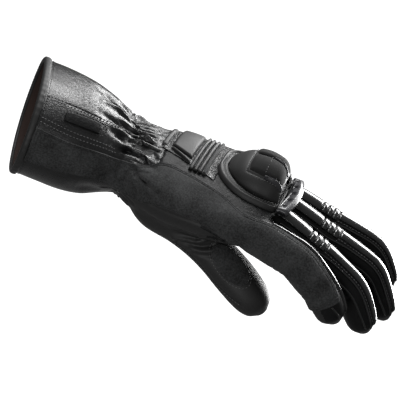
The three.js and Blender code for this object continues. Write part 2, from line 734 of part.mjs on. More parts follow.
// The flange is a loop round the dome, walked along the edges of the layout.
const FLANGE_STEPS = 8;
function edgeWalk() {
  const shares = spread(0, 1, FLANGE_STEPS).slice(0, -1);
  return [
    ...shares.map((t) => [t, 0]),
    ...shares.map((t) => [1, t]),
    ...shares.map((t) => [1 - t, 1]),
    ...shares.map((t) => [0, 1 - t]),
  ];
}

function flange() {
  const loop = edgeWalk().map(([u, v]) => {
    const outer = (high) => flangePoint(u, v, high);
    const [far, near] = guardEdge(u, FLANGE_WIDTH - SEAM_GAP);
    const s = DOME_BACK + DOME_LENGTH * u + (u === 0 ? -SEAM_GAP : 0) + (u === 1 ? SEAM_GAP : 0);
    const inner = (high) => backPoint(s, mix(far, near, v), high);
    const swollen = outer(GUARD_GAP + FLANGE_WALL).lerp(inner(GUARD_GAP + FLANGE_WALL), 0.45);
    return [
      outer(GUARD_GAP),
      outer(GUARD_GAP + FLANGE_WALL * 0.5),
      swollen,
      inner(GUARD_GAP + FLANGE_WALL * 0.75),
      inner(GUARD_GAP),
    ];
  });
  return loopSolid(loop);
}

add("knuckle_flange", flange(), SMOOTH_LEATHER);
add(
  "knuckle_dome",
  sheet((u, v) => domePoint(u, v), (u, v) => domeBase(u, v), 8, 8),
  SMOOTH_LEATHER,
);

// Two pods on the front of the dome, over the middle and the ring knuckle, with a
// glossy strip down the front between and beside them. `near` and `far` are shares of
// the dome's width, from the little finger's side.
const PODS = [
  { name: "knuckle_pod_middle", from: 0.37, to: 0.94, far: 0.48, near: 0.84 },
  { name: "knuckle_pod_ring", from: 0.4, to: 0.94, far: 0.1, near: 0.445 },
];
for (const { name, from, to, far, near } of PODS) {
  const place = (u, v, over) => domePoint(mix(from, to, u), mix(far, near, v), over);
  const crown = (u, v) => POD_GAP + POD_WALL * mix(0.55, 1, swell(v, 0.5) * swell(u, 0.3));
  add(name, sheet((u, v) => place(u, v, crown(u, v)), (u, v) => place(u, v, POD_GAP), 6, 4), POD_CLOTH);
}
const RIDGES = [
  { name: "knuckle_ridge_near", at: 0.868 },
  { name: "knuckle_ridge_middle", at: 0.4625 },
];
for (const { name, at } of RIDGES) {
  const place = (u, v, over) => domePoint(mix(0.72, 0.97, u), at + (v - 0.5) * 0.022, over);
  const top = (u, v) => place(u, v, POD_GAP + POD_WALL);
  add(name, sheet(top, (u, v) => place(u, v, POD_GAP), 4, 1), GLOSS_TRIM);
}

// Glossy lip at the guard's front, with a row of vents behind its rim.
const handPlus = handBody(LAY_GAP);
const LIP_BACK = GUARD_BACK + GUARD_LENGTH + SEAM_GAP;
const LIP_SEAT = 1.5; // the fingers' roots stand this far out of the hand
const LIP_NEAR = 0.86; // its ends, as shares of the guard's half width
const LIP_FAR = 0.89;
const VENT_COUNT = 4;

function lip() {
  const place = (u, v, high) => {
    const half = GUARD_WIDTH / 2;
    const across = mix(-LIP_FAR * half, LIP_NEAR * half, v) - GUARD_SHIFT;
    const bow = 0.5 * LIP_DEPTH * (1 - (2 * v - 1) ** 2);
    return backPoint(LIP_BACK + LIP_DEPTH * u + bow, across, high);
  };
  const crown = (u, v) => LIP_WALL * mix(0.8, 1, swell(v, 0.4)) * (1 - 0.55 * u * u);
  const top = (u, v) => place(u, v, LAY_GAP + LIP_SEAT + crown(u, v));
  let bar = sheet(top, (u, v) => place(u, v, -1), 3, 9).subtract(handPlus);
  for (let i = 0; i < VENT_COUNT; i += 1) {
    const middle = (i + 1) / (VENT_COUNT + 1);
    const part = (u, v, high) => place(mix(0.18, 0.5, u), middle + (v - 0.5) * 0.12, high);
    bar = bar.subtract(sheet((u, v) => part(u, v, 12), (u, v) => part(u, v, 3.2), 1, 1));
  }
  return bar;
}

add("knuckle_lip", lip(), GLOSS_TRIM);

// Back of each finger: a pad next to the knuckle, ribs over the joint, and a long
// strip to the tip. `from` and `to` are shares of the finger's length, `half` is half
// the piece's span in degrees.
const FINGER_PIECES = [
  { name: "pad", from: 0.215, to: 0.285, half: 44, thick: STRIP_WALL, along: 2 },
  { name: "rib_1", from: 0.3, to: 0.322, half: 46, thick: STRIP_WALL * 1.3, along: 2 },
  { name: "rib_2", from: 0.335, to: 0.357, half: 46, thick: STRIP_WALL * 1.3, along: 2 },
  { name: "rib_3", from: 0.37, to: 0.392, half: 46, thick: STRIP_WALL * 1.3, along: 2 },
  { name: "strip", from: 0.425, to: 0.93, half: 24, thick: STRIP_WALL, along: 9 },
];
for (const { name, skin } of fingers) {
  const onIndex = name === "index"; // its thumb side is under the side panel
  for (const piece of FINGER_PIECES) {
    if (onIndex && piece.name.startsWith("rib")) continue;
    const from = piece.from * skin.length;
    const to = piece.to * skin.length;
    const span = (u) => {
      const half = piece.name === "strip" ? piece.half * mix(1, 0.8, u) : piece.half;
      return onIndex ? [-half - 6, Math.min(half, -4)] : [-half, half];
    };
    add(
      `${name}_${piece.name}`,
      laid(skin, from, to, span, piece.thick, piece.along, piece.half > 40 ? 4 : 2, 0.5),
      piece.name === "strip" ? SMOOTH_LEATHER : GRAIN_LEATHER,
    );
  }
}

// Matte oval patch on the thumb
const [PATCH_FROM, PATCH_TO] = [0.64, 0.87].map((share) => share * thumb.length);
const patchSpan = (u) => {
  const half = 34 * Math.sqrt(Math.max(1 - (2 * u - 1) ** 2, 0.12));
  return [70 - half, 70 + half];
};
add("thumb_patch", laid(thumb, PATCH_FROM, PATCH_TO, patchSpan, PATCH_WALL, 6, 4, 0.7), MATTE_LEATHER);

export default glove;
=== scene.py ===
"""Looks of a left-hand leather riding glove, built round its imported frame."""
import math

import bpy
import numpy as np
from bpy.props import FloatProperty, FloatVectorProperty, PointerProperty
from mathutils import Matrix, Vector
from mathutils.bvhtree import BVHTree
from mathutils.kdtree import KDTree


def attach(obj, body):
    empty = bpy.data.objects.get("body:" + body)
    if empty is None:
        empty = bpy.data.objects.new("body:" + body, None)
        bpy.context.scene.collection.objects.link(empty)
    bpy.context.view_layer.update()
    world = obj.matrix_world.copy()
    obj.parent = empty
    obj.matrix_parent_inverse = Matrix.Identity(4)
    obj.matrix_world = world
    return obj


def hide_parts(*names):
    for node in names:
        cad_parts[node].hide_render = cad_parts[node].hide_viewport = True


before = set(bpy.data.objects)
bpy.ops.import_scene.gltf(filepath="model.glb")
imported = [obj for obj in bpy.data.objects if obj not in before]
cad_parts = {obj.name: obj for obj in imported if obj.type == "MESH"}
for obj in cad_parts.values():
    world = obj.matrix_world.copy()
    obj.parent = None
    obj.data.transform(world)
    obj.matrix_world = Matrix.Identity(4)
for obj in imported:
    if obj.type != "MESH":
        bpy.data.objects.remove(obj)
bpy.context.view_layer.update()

bl_info = {
    "name": "Riding Glove",
    "version": (1, 0, 0),
    "blender": (4, 5, 0),
    "location": "3D View > Sidebar > Glove",
    "description": "Dresses the frame of a left-hand riding glove with leather, pads and seams",
    "category": "Add Mesh",
}

# Sizes are in millimetres, and become metres when a piece's points are laid.
MM = 0.001
CUFF = 74.0
PALM = 98.0
PALM_WIDTH = 96.0
PALM_HEIGHT = 36.0
PITCH, YAW, MOUTH_SLANT = (math.tan(math.radians(angle)) for angle in (8, 9, 8.5))
BEND = 26.0  # length over which the hand turns out of the forearm's line
WRIST_HALF = (30.0, 23.0)
FLARE = (14.0, 12.0)  # what the cuff's mouth adds to it
ARM = CUFF + PALM
FINGER, FINGER_WIDE, FINGER_PITCH = 110.0, 24.0, 22.0
THUMB, THUMB_WIDE = 122.0, 29.0
GUARD_BACK = CUFF + PALM * 0.617
GUARD_LENGTH = 46.0
GUARD_HALF = 28.0
GUARD_RISE = 15.0
GUARD_SHIFT = 4.0
RIM = 5.5


# Shapes that the whole glove is laid on -------------------------------------------

def smooth(x, a, b):
    t = np.clip((np.asarray(x, float) - a) / (b - a), 0, 1)
    return t * t * (3 - 2 * t)


def mix(a, b, t):
    return a + (b - a) * t


def table(rows, at):
    """The columns of a table at shares of its first column, smooth between its rows."""
    rows = np.asarray(rows, float)
    x = rows[:, 0]
    at = np.clip(np.asarray(at, float), x[0], x[-1])
    i = np.clip(np.searchsorted(x, at, side="left") - 1, 0, len(x) - 2)
    before, after = np.maximum(np.arange(len(x)) - 1, 0), np.minimum(np.arange(len(x)) + 1, len(x) - 1)
    slope = (rows[after, 1:] - rows[before, 1:]) / (x[after] - x[before])[:, None]
    span = x[i + 1] - x[i]
    t = ((at - x[i]) / span)[..., None]
    span = span[..., None]
    value = (2 * t**3 - 3 * t**2 + 1) * rows[i, 1:] + (t**3 - 2 * t**2 + t) * span * slope[i]
    value = value + (3 * t**2 - 2 * t**3) * rows[i + 1, 1:] + (t**3 - t**2) * span * slope[i + 1]
    return np.moveaxis(value, -1, 0)


def unit(v):
    return v / np.maximum(np.linalg.norm(v, axis=-1, keepdims=True), 1e-9)


def folds(x, y, marks):
    """Soft crests and dents along lines of points (x, y): each is (points, width, height)."""
    out = np.zeros(np.shape(x))
    for points, width, height in marks:
        best, share, run = np.full(np.shape(x), 1e9), np.zeros(np.shape(x)), 0.0
        steps = list(zip(points[:-1], points[1:]))
        total = sum(math.dist(p, q) for p, q in steps)
        for (ax, ay), (bx, by) in steps:
            length = math.dist((ax, ay), (bx, by))
            t = np.clip(((x - ax) * (bx - ax) + (y - ay) * (by - ay)) / length**2, 0, 1)
            gap = (x - ax - t * (bx - ax)) ** 2 + (y - ay - t * (by - ay)) ** 2
            nearer = gap < best
            best = np.where(nearer, gap, best)
            share = np.where(nearer, (run + t * length) / total, share)
            run += length
        out += height * np.sin(math.pi * np.clip(share, 0.06, 0.94)) ** 0.7 * np.exp(-best / width**2)
    return out


class Skin:
    """A tube of leather round a bent centreline. A place on it is its length along the
    centreline and its angle, from the back of the hand (0) to the thumb's side (90)."""

    def __init__(self, frame_at, size_at, square, length, relief=None):
        self.frame_at, self.size_at = frame_at, size_at
        self.square, self.length, self.relief = square, length, relief

    def point(self, s, a, over=0.0, detail=True, close=1.0):
        s, a = np.broadcast_arrays(np.asarray(s, float), np.asarray(a, float))
        centre, side, up = self.frame_at(s)
        wide, high, low = self.size_at(s)
        c, d = np.cos(np.radians(a)), np.sin(np.radians(a))
        tall, wide = np.where(c > 0, high, low) + over, wide + over
        q = self.square
        r = ((np.abs(d) / wide) ** q + (np.abs(c) / tall) ** q) ** (-1 / q)
        if detail and self.relief:
            r = r + self.relief(s, (a + 180) % 360 - 180)
        r = r * close
        return centre + up * (c * r)[..., None] - side * (d * r)[..., None]


def arm_frame(s):
    past = np.maximum(s - CUFF + BEND / 2, 0)
    bent = np.where(past < BEND, past * past / (2 * BEND), past - BEND / 2)
    share = np.minimum(past / BEND, 1)
    slant = MOUTH_SLANT * np.maximum(1 - s / CUFF, 0)
    centre = np.stack([s, -bent * YAW, bent * PITCH], -1)
    along = unit(np.stack([np.ones_like(s), slant - YAW * share, PITCH * share], -1))
    side = unit(np.cross([0, 0, 1], along))
    return centre, side, np.cross(along, side)


CUFF_TABLE = [(0, 1, 1, 1.04), (0.25, 1, 1.06, 1), (0.5, 0.94, 0.92, 0.96), (0.7, 0.74, 0.58, 0.74),
              (0.85, 0.4, 0.24, 0.34), (1, 0, 0, 0)]
PALM_TABLE = [(0, 0.625, 0.64, 0.64), (0.05, 0.64, 0.62, 0.72), (0.12, 0.68, 0.62, 0.82),
              (0.3, 0.82, 0.6, 0.88), (0.55, 0.93, 0.58, 0.76), (0.8, 0.97, 0.52, 0.58),
              (1, 0.91, 0.45, 0.46), (1.13, 0.84, 0.32, 0.36)]


def arm_size(s):
    side, top, under = table(CUFF_TABLE, s / CUFF)
    wide, high, low = table(PALM_TABLE, (s - CUFF) / PALM)
    cuff = s <= CUFF
    return (np.where(cuff, WRIST_HALF[0] + side * FLARE[0], wide * PALM_WIDTH / 2),
            np.where(cuff, WRIST_HALF[1] + top * FLARE[1], high * PALM_HEIGHT),
            np.where(cuff, WRIST_HALF[1] + under * FLARE[1], low * PALM_HEIGHT))


def bent_path(start, heading, turn, length, slope_at, back=0.0):
    step = 0.5
    ahead = np.array([math.cos(math.radians(heading)), math.sin(math.radians(heading)), 0])
    level = np.array([-ahead[1], ahead[0], 0])

    def direction(s):
        slope = np.radians(slope_at(s))[..., None]
        return ahead * np.cos(slope) + np.array([0, 0, -1.0]) * np.sin(slope)

    count = round(back / step)
    places = np.arange(-count, round(length / step) + 1) * step
    moves = direction(np.maximum(places[:-1] + step / 2, 0)) * step
    first = np.asarray(start) - direction(np.zeros(1))[0] * count * step
    points = np.concatenate([first[None], first + np.cumsum(moves, 0)])

    def frame_at(s):
        s = np.asarray(s, float)
        along = direction(np.clip(s, 0, length))
        centre = np.stack([np.interp(s, places, points[:, i]) for i in range(3)], -1)
        past = np.maximum(s - length, 0)[..., None]
        t = math.radians(turn)
        side = level * math.cos(t) + np.cross(along, level) * math.sin(t)
        return centre + along * past, side, np.cross(along, side)

    return frame_at


FINGER_TABLE = [(0, 0.87, 0.46, 0.52), (0.3, 0.86, 0.47, 0.52), (0.46, 0.9, 0.49, 0.5),
                (0.72, 0.86, 0.45, 0.47), (0.88, 0.84, 0.42, 0.45), (0.955, 0.72, 0.35, 0.37),
                (1, 0.36, 0.17, 0.17)]
THUMB_TABLE = [(0, 0.6, 0.3, 0.3), (0.06, 1, 0.52, 0.54), (0.18, 1.3, 0.6, 0.66), (0.35, 1.15, 0.5, 0.56),
               (0.6, 1.02, 0.46, 0.5), (0.76, 1.08, 0.48, 0.5), (0.9, 0.98, 0.44, 0.45),
               (0.97, 0.72, 0.32, 0.33), (1, 0.34, 0.15, 0.15)]
# name: slot, set, lift, splay, turn, width, bones, bends
FINGERS = {
    "index": (-1.56, -0.03, 0.056, -3, -4, 1.02, (0.345, 0.236, 0.209), (4, 27, 42)),
    "middle": (-0.5, 0, 0.056, -2, 0, 1, (0.427, 0.282, 0.291), (12, 18, 48)),
    "ring": (0.5, 0.01, 0, 1, 2, 0.958, (0.427, 0.309, 0.345), (10, 10, 48)),
    "little": (1.5, -0.02, -0.11, 4, 6, 0.875, (0.4, 0.327, 0.291), (7, 5, 46)),
}


def sized(rows, length, wide):
    def size_at(s):
        w, h, low = table(rows, s / length)
        return w * wide / 2, h * wide, low * wide
    return size_at


def finger_skin(name):
    slot, ahead, lift, splay, turn, wide, bones, bends = FINGERS[name]
    centre, side, up = arm_frame(np.array(ARM + ahead * PALM))
    knuckle = centre + side * slot * FINGER_PITCH + up * lift * PALM_HEIGHT
    first, second, third = (share * FINGER for share in bones)
    a, b, c = bends

    def slope_at(s):
        return (-8 + (a + 8) * smooth(s, -10, 20) + (b - a) * smooth(s, first - 10, first + 10)
                + (c - b) * smooth(s, first + second - 10, first + second + 10))

    length = first + second + third
    path = bent_path(knuckle, splay - 9, turn, length, slope_at, 20)

    def relief(s, angle):
        # soft creases on the inside of each bend, and a little slack between them
        under = smooth(np.abs(angle), 100, 150)
        at = np.exp(-((s - first) / 5) ** 2) + np.exp(-((s - first - second) / 5) ** 2)
        return -0.55 * under * at * (0.5 + 0.5 * np.cos(s * 1.9 + angle * 0.02))

    return Skin(path, sized(FINGER_TABLE, length, wide * FINGER_WIDE), 2.2, length, relief)


def thumb_skin():
    first, second, third = (share * THUMB for share in (0.484, 0.278, 0.238))

    def slope_at(s):
        return 8 + 13 * smooth(s, first - 20, first + 20) + 3 * smooth(s, first + second - 20, first + second + 20)

    start = (CUFF + 0.122 * PALM, -0.146 * PALM_WIDTH, -0.222 * PALM_HEIGHT)
    path = bent_path(start, -18, -30, THUMB, slope_at)

    def relief(s, angle):
        web = [([(52, 70), (60, 105)], 1.4, -0.8), ([(47, 80), (54, 120)], 1.3, -0.7),
               ([(66, -40), (64, 20)], 2.2, -0.6), ([(72, 150), (70, 120)], 1.5, -0.5)]
        turn = 0.24
        return folds(s, angle * turn, [([(x, a * turn) for x, a in points], *size) for points, *size in web])

    return Skin(path, sized(THUMB_TABLE, THUMB, THUMB_WIDE), 2.1, THUMB, relief)


# Gathers and dents of the cuff and the hand, traced as (length, angle) lines with
# their width and height. An angle counts as half a millimetre a degree.
TURN = 0.5
WRIST_MARKS = [
    ([(40, -21), (48.5, -21), (55, -24), (62, -27), (68, -25)], 3.4, -2.5),
    ([(44, 0), (52, -5), (60, -7.5), (70, -5)], 2.2, 1.2),
    ([(55, -2), (63, -4.5), (68.5, -3)], 1.0, -1.3),
    ([(44, 23), (54, 21), (66, 19.5)], 2.6, -1.5),
    ([(54, 30), (61.5, 28.5), (71.5, 28.5)], 2.0, 1.1),
    ([(58, 9), (65, 8), (72, 8)], 1.3, 1.0),
    ([(60, 14), (67, 13.5), (73, 14)], 1.1, -1.2),
    ([(57, 38), (64, 37), (72, 38)], 2.2, -1.6),
    ([(65.5, 48), (74, 45), (84, 50)], 1.7, 1.4),
    ([(68, 53), (76, 51.5), (84, 55)], 1.2, -1.5),
    ([(71, 57.5), (78, 57), (85, 58.5)], 1.4, 1.2),
    ([(78, 31.5), (85, 30), (90.5, 33)], 1.7, 1.3),
    ([(83.5, 45.5), (90, 50), (94, 55)], 1.3, 1.5),
    ([(80, 40), (86, 40), (93, 45)], 1.5, -1.8),
    ([(88, 36), (93, 41), (98, 48)], 2.0, -1.2),
    ([(69, -9), (78.5, -14), (88, -18)], 1.2, 1.4),
    ([(70, -15), (79, -19), (87, -22)], 1.0, -1.4),
    ([(71, 9), (80, 2), (90, -2)], 1.2, 1.4),
    ([(71, 1), (79, -6), (88, -10)], 1.0, -1.5),
    ([(73.5, 21), (82, 14), (90, 9)], 1.2, 1.2),
    ([(73, 14), (80, 9), (89, 4)], 1.0, -1.5),
    ([(76, 27), (83, 22), (91, 20)], 1.0, -1.3),
    ([(70, -27), (80, -29), (92, -33)], 1.3, 1.3),
    ([(70, -33), (82, -37), (93, -40)], 1.2, -1.3),
    ([(60, -40), (72, -43), (86, -46)], 1.6, 1.0),
    ([(58, -50), (72, -51), (88, -52)], 1.6, -1.4),
    ([(74, 118), (82, 123), (92, 128)], 1.6, -1.4),
    ([(76, 131), (84, 136), (92, 138)], 1.5, -1.1),
    ([(45, 110), (55, 110), (66, 117)], 4.5, -1.6),
    ([(46, 76), (55, 80), (66, 86)], 4.0, -0.8),
    ([(58, 70), (66, 74), (74, 84)], 2.6, 0.7),
    ([(84, 66), (91, 79), (99, 86), (108, 92)], 1.8, -1.5),
    ([(90, 74), (99, 80), (106, 84)], 2.5, 0.7),
]
GATHER_SHARES = [0.3, 0.4, 0.5, 0.6, 0.8, 0.7, 1.0, 0.8, 0.5, 0.3,
                 0.4, 0.5, 0.7, 0.9, 0.2, 0.0, 0.1, 0.4, 0.5, 0.4]


def ruches():
    """Short fine folds, scattered where the elastic draws the leather in."""
    rng = np.random.default_rng(12)
    marks = []
    for _ in range(60):
        a = rng.uniform(-66, 62)
        s = elastic(a) + rng.normal(1.5, 7.0)
        length, lean = rng.uniform(6, 14), rng.uniform(-0.35, 0.25)
        height = rng.choice([-1.6, 1]) * rng.uniform(0.4, 0.9)
        marks.append(([(s - length / 2, a - lean * length), (s, a + rng.uniform(-1, 1)),
                       (s + length / 2, a + lean * length)], rng.uniform(0.8, 1.5), height))
    for _ in range(70):
        a = rng.uniform(100, 292)
        s, length = 74 + rng.normal(0, 5.0), rng.uniform(6, 14)
        a = a - 360 if a > 180 else a
        marks.append(([(s - length / 2, a - 1), (s, a), (s + length / 2, a + 1)], rng.uniform(0.8, 1.5),
                      rng.choice([-1, 1]) * rng.uniform(0.3, 0.8)))
    return marks


def elastic(a):
    """Where the elastic is sewn, by the angle."""
    return np.interp(a, [-180, -90, -43.5, -9, 18, 40.5, 60, 90, 180], [74, 68, 65.5, 72, 78, 85.5, 92, 80, 74])


def arm_relief(s, a):
    settings = bpy.context.scene.glove
    along = np.exp(-(((s - CUFF * 1.07) / (CUFF * 0.24)) ** 2))
    place = (a + 180) / 18
    nearest = np.round(place).astype(int)
    valley = np.cos(math.pi * np.clip(place - nearest, -0.5, 0.5)) ** 2
    share = np.array(GATHER_SHARES)[nearest % 20]
    drawn = 1.9 * along * valley * share
    deep = 1.45  # depth over the traced marks, so that their shade shows
    marks = [([(x, y * TURN) for x, y in points], w, deep * h * settings.gathers)
             for points, w, h in WRIST_MARKS + RUCHES]
    marks.append(([(x, y * TURN) for x, y in CUFF_SEAM], 0.5, -0.45))
    gap = s - elastic(a)
    waist = 0.8 * np.exp(-(gap / 1.0) ** 2) + 0.5 * np.exp(-((gap - 3.6) / 0.8) ** 2)
    dents = np.zeros(np.shape(s))
    near = (s > 20) & (s < 125)
    dents[near] = folds(s[near], (a * TURN)[near], marks)
    return dents - drawn - waist


CUFF_SEAM = [(6, 35), (26, 33), (40.5, 31.5), (57.5, 27), (71, 19.5)]
RUCHES = ruches()
ARM_SKIN = Skin(arm_frame, arm_size, 2.25, ARM, arm_relief)
THUMB_SKIN = thumb_skin()
FINGER_SKINS = {name: finger_skin(name) for name in FINGERS}


def back_point(s, across, rise):
    """A place over the back of the hand: across runs to the thumb's side from its middle."""
    s = np.asarray(s, float)
    centre, side, up = arm_frame(s)
    wide, high, _ = arm_size(s)
    level = high * np.maximum(1 - np.minimum(np.abs(across) / wide, 1) ** 2.25, 0) ** (1 / 2.25)
    return centre - side * np.asarray(across)[..., None] + up * (level + rise)[..., None]


GUARD_TABLE = [(0, 0.34, 0.5, 0), (0.05, 0.55, 0.68, 0.1), (0.15, 0.72, 0.84, 0.4), (0.32, 0.9, 0.98, 0.78),
               (0.55, 1, 1, 1), (0.75, 0.99, 0.98, 1.03), (0.88, 0.95, 0.93, 0.97), (1, 0.84, 0.88, 0.5)]
DOME_BACK = GUARD_BACK + RIM
DOME_LENGTH = GUARD_LENGTH - RIM - 1.2


def guard_edge(u, inset):
    near, far, _ = table(GUARD_TABLE, u)
    return -far * GUARD_HALF + inset - GUARD_SHIFT, near * GUARD_HALF - inset - GUARD_SHIFT


def dome_point(u, v, over=0.0):
    far, near = guard_edge(u, RIM)
    crest = table(GUARD_TABLE, mix(0.06, 0.97, u))[2] * GUARD_RISE
    swell = np.maximum(1 - np.abs(2 * v - 1) ** 2, 0) ** 0.42
    rise = 2.55 + crest * swell + over
    return back_point(DOME_BACK + DOME_LENGTH * u, mix(far, near, v), rise)


# Making pieces --------------------------------------------------------------------

def only(obj):
    bpy.ops.object.select_all(action="DESELECT")
    obj.select_set(True)
    bpy.context.view_layer.objects.active = obj


def points_of(obj):
    co = np.zeros(len(obj.data.vertices) * 3)
    obj.data.vertices.foreach_get("co", co)
    return co.reshape(-1, 3)


def lay(obj, points):
    obj.data.vertices.foreach_set("co", (np.asarray(points) * MM).ravel())
    obj.data.update()


def edit(obj, *steps):
    only(obj)
    bpy.ops.object.mode_set(mode="EDIT")
    bpy.ops.mesh.select_all(action="SELECT")
    for step in steps:
        step()
    bpy.ops.object.mode_set(mode="OBJECT")


def weld():
    bpy.ops.mesh.remove_doubles(threshold=2e-6)


def outward():
    bpy.ops.mesh.normals_make_consistent(inside=False)


def close_holes(obj, *before):
    """Fills the open ends of a piece and turns its faces outward."""
    edit(obj, *before, lambda: bpy.ops.mesh.select_all(action="DESELECT"),
         lambda: bpy.ops.mesh.select_non_manifold(extend=False, use_verts=False), bpy.ops.mesh.fill,
         lambda: bpy.ops.mesh.select_all(action="SELECT"), outward)


def finish_with(obj, kind, **values):
    only(obj)
    modifier = obj.modifiers.new(kind.title(), kind)
    for key, value in values.items():
        setattr(modifier, key, value)
    bpy.ops.object.modifier_apply(modifier=modifier.name)


def thicken(obj, thick=0.8):
    finish_with(obj, "SOLIDIFY", thickness=thick * MM, offset=-1)


def grid(name, surface, along, across, crowd=0.0):
    """A grid primitive whose points are laid on surface(u, v), with u and v from 0 to 1.
    crowd draws its rows towards its edges, where a pad turns down."""
    bpy.ops.object.select_all(action="DESELECT")
    bpy.ops.mesh.primitive_grid_add(x_subdivisions=along, y_subdivisions=across, size=1)
    obj = bpy.context.object
    obj.name = obj.data.name = name
    u, v = np.clip(points_of(obj)[:, :2].T + 0.5, 0, 1)
    u, v = (mix(t, (1 - np.cos(math.pi * t)) / 2, crowd) for t in (u, v))
    lay(obj, surface(u, v))
    return obj


def face_out(obj, inner):
    """Turns the faces of an open sheet so that they look away from the point inner."""
    me = obj.data
    normals, centres = np.zeros(len(me.polygons) * 3), np.zeros(len(me.polygons) * 3)
    me.polygons.foreach_get("normal", normals)
    me.polygons.foreach_get("center", centres)
    away = centres.reshape(-1, 3) - np.asarray(inner) * MM
    if (normals.reshape(-1, 3) * away).sum() < 0:
        edit(obj, bpy.ops.mesh.flip_normals)
    return obj


def dressed(obj, finish, slot, *nodes):
    only(obj)
    obj.data.materials.clear()
    obj.data.materials.append(hide(finish))
    bpy.ops.object.shade_smooth()
    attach(obj, "root")
    if nodes:
        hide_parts(*nodes)
    return obj


def ring_tube(name, skin, places, around):
    """A loft along a skin, with its end rounded off."""
    turn = np.linspace(0.15, 0.5, 6) * math.pi
    close = np.concatenate([np.ones(len(places)), np.cos(turn)])
    close[-1] = 1e-4
    places = np.concatenate([places, skin.length - 0.2 + 1.5 * np.sin(turn)])

    def surface(u, v):
        i = np.round(u * (len(places) - 1)).astype(int)
        return skin.point(places[i], v * 360, close=close[i])

    obj = grid(name, surface, len(places) - 1, around)
    edit(obj, weld)
    return obj


def turned(x):
    """The rise of a quarter circle, from 0 where x is 0 to 1 where x is 1."""
    return np.sqrt(np.maximum(1 - (1 - np.clip(x, 0, 1)) ** 2, 0))


def pillow(height, long, wide, u, v, turn=1.2, crown=0.35, sink=0.6):
    """Height of a pad over its leather: it turns down within `turn` of its edges."""
    edge = np.minimum(np.minimum(u, 1 - u) * long, np.minimum(v, 1 - v) * wide)
    down = turned(edge / turn)
    swell = np.clip(16 * u * (1 - u) * v * (1 - v), 0, 1) ** 0.6
    return down * height * (1 - crown + crown * swell) - sink * (1 - down)


def rounded(u, v, k):
    """Draws a square's corners in, by k of a circle's."""
    x, y = 2 * u - 1, 2 * v - 1
    return (x * np.sqrt(1 - k * y * y / 2) + 1) / 2, (y * np.sqrt(1 - k * x * x / 2) + 1) / 2


def strip_on(name, skin, start, end, span, height, along, across, turn=1.2, crown=0.35, corner=0.0,
             detail=True, base=0.3, thick=0.8):
    """A padded strip sewn on a skin from one length to another; span(u) is its two angles."""
    middle = (start + end) / 2
    centre = skin.frame_at(np.array(middle))[0]
    a, b = span(np.array(0.5))
    ends = skin.point(np.array([middle, middle]), np.array([a, b]))
    wide, long = np.linalg.norm(ends[0] - ends[1]), abs(end - start)

    def surface(u, v):
        x, y = rounded(u, v, corner)
        left, right = span(x)
        return skin.point(mix(start, end, x), mix(left, right, y), base + pillow(height, long, wide, u, v, turn, crown),
                          detail)

    obj = face_out(grid(name, surface, along, across, 0.6), centre)
    thicken(obj, thick)
    return obj


def spline(a, b, c, d, f):
    """The smooth line from b to c at the share f, between its neighbours a and d."""
    return 0.5 * (2 * b + (c - a) * f + (2 * a - 5 * b + 4 * c - d) * f**2 + (3 * b - a - 3 * c + d) * f**3)


def closed_curve(points, count):
    """A smooth closed line through points, by its share of the way round."""
    p = np.asarray(points, float)
    t = np.arange(count) / count * len(p)
    i = t.astype(int)
    return spline(*(p[(i + k) % len(p)] for k in (-1, 0, 1, 2)), (t - i)[:, None])


def on_profile(profile, v):
    """The columns of a closed profile, at shares of the way round it."""
    return profile[np.round(v * len(profile)).astype(int) % len(profile)].T


def dense(points, step=0.5):
    """Points of an open line, close together and smooth."""
    p = np.asarray(points, float)
    ends = np.concatenate([[2 * p[0] - p[1]], p, [2 * p[-1] - p[-2]]])
    parts = []
    for i in range(len(p) - 1):
        count = max(int(np.linalg.norm(ends[i + 2] - ends[i + 1]) / step), 2)
        parts.append(spline(*ends[i:i + 4], (np.arange(count) / count)[:, None]))
    return np.concatenate(parts + [p[-1:]])


def line_on(skin, places, over=0.3, step=0.4):
    """A line on a skin and the directions that leave it, from (length, angle) places."""
    flat = dense([(s, a * TURN) for s, a in places], step)
    s, a = flat[:, 0], flat[:, 1] / TURN
    at = skin.point(s, a, over)
    return at, unit(skin.point(s, a, over + 1, False) - skin.point(s, a, over, False))


def cord_along(name, lines, radius):
    """Piping: round cords laid along lines of points, with their ends closed."""
    sides = 6
    verts, faces = [], []
    for at, out in lines:
        run = unit(np.gradient(at, axis=0))
        side = unit(np.cross(run, out))
        up = np.cross(side, run)
        first = len(verts)
        angles = np.arange(sides) / sides * 2 * math.pi
        size = np.full(len(at), radius)
        size[[0, -1]] *= 0.3
        for p, u, w, r in zip(at, side, up, size):
            verts += [tuple((p + (u * math.cos(t) + w * math.sin(t)) * r) * MM) for t in angles]
        for i in range(len(at) - 1):
            for j in range(sides):
                k = (j + 1) % sides
                base = first + i * sides
                faces.append((base + j, base + k, base + sides + k, base + sides + j))
        faces.append(tuple(first + j for j in reversed(range(sides))))
        faces.append(tuple(first + (len(at) - 1) * sides + j for j in range(sides)))
    mesh = bpy.data.meshes.new(name)
    mesh.from_pydata(verts, [], faces)
    obj = bpy.data.objects.new(name, mesh)
    bpy.context.scene.collection.objects.link(obj)
    edit(obj, outward)
    return obj


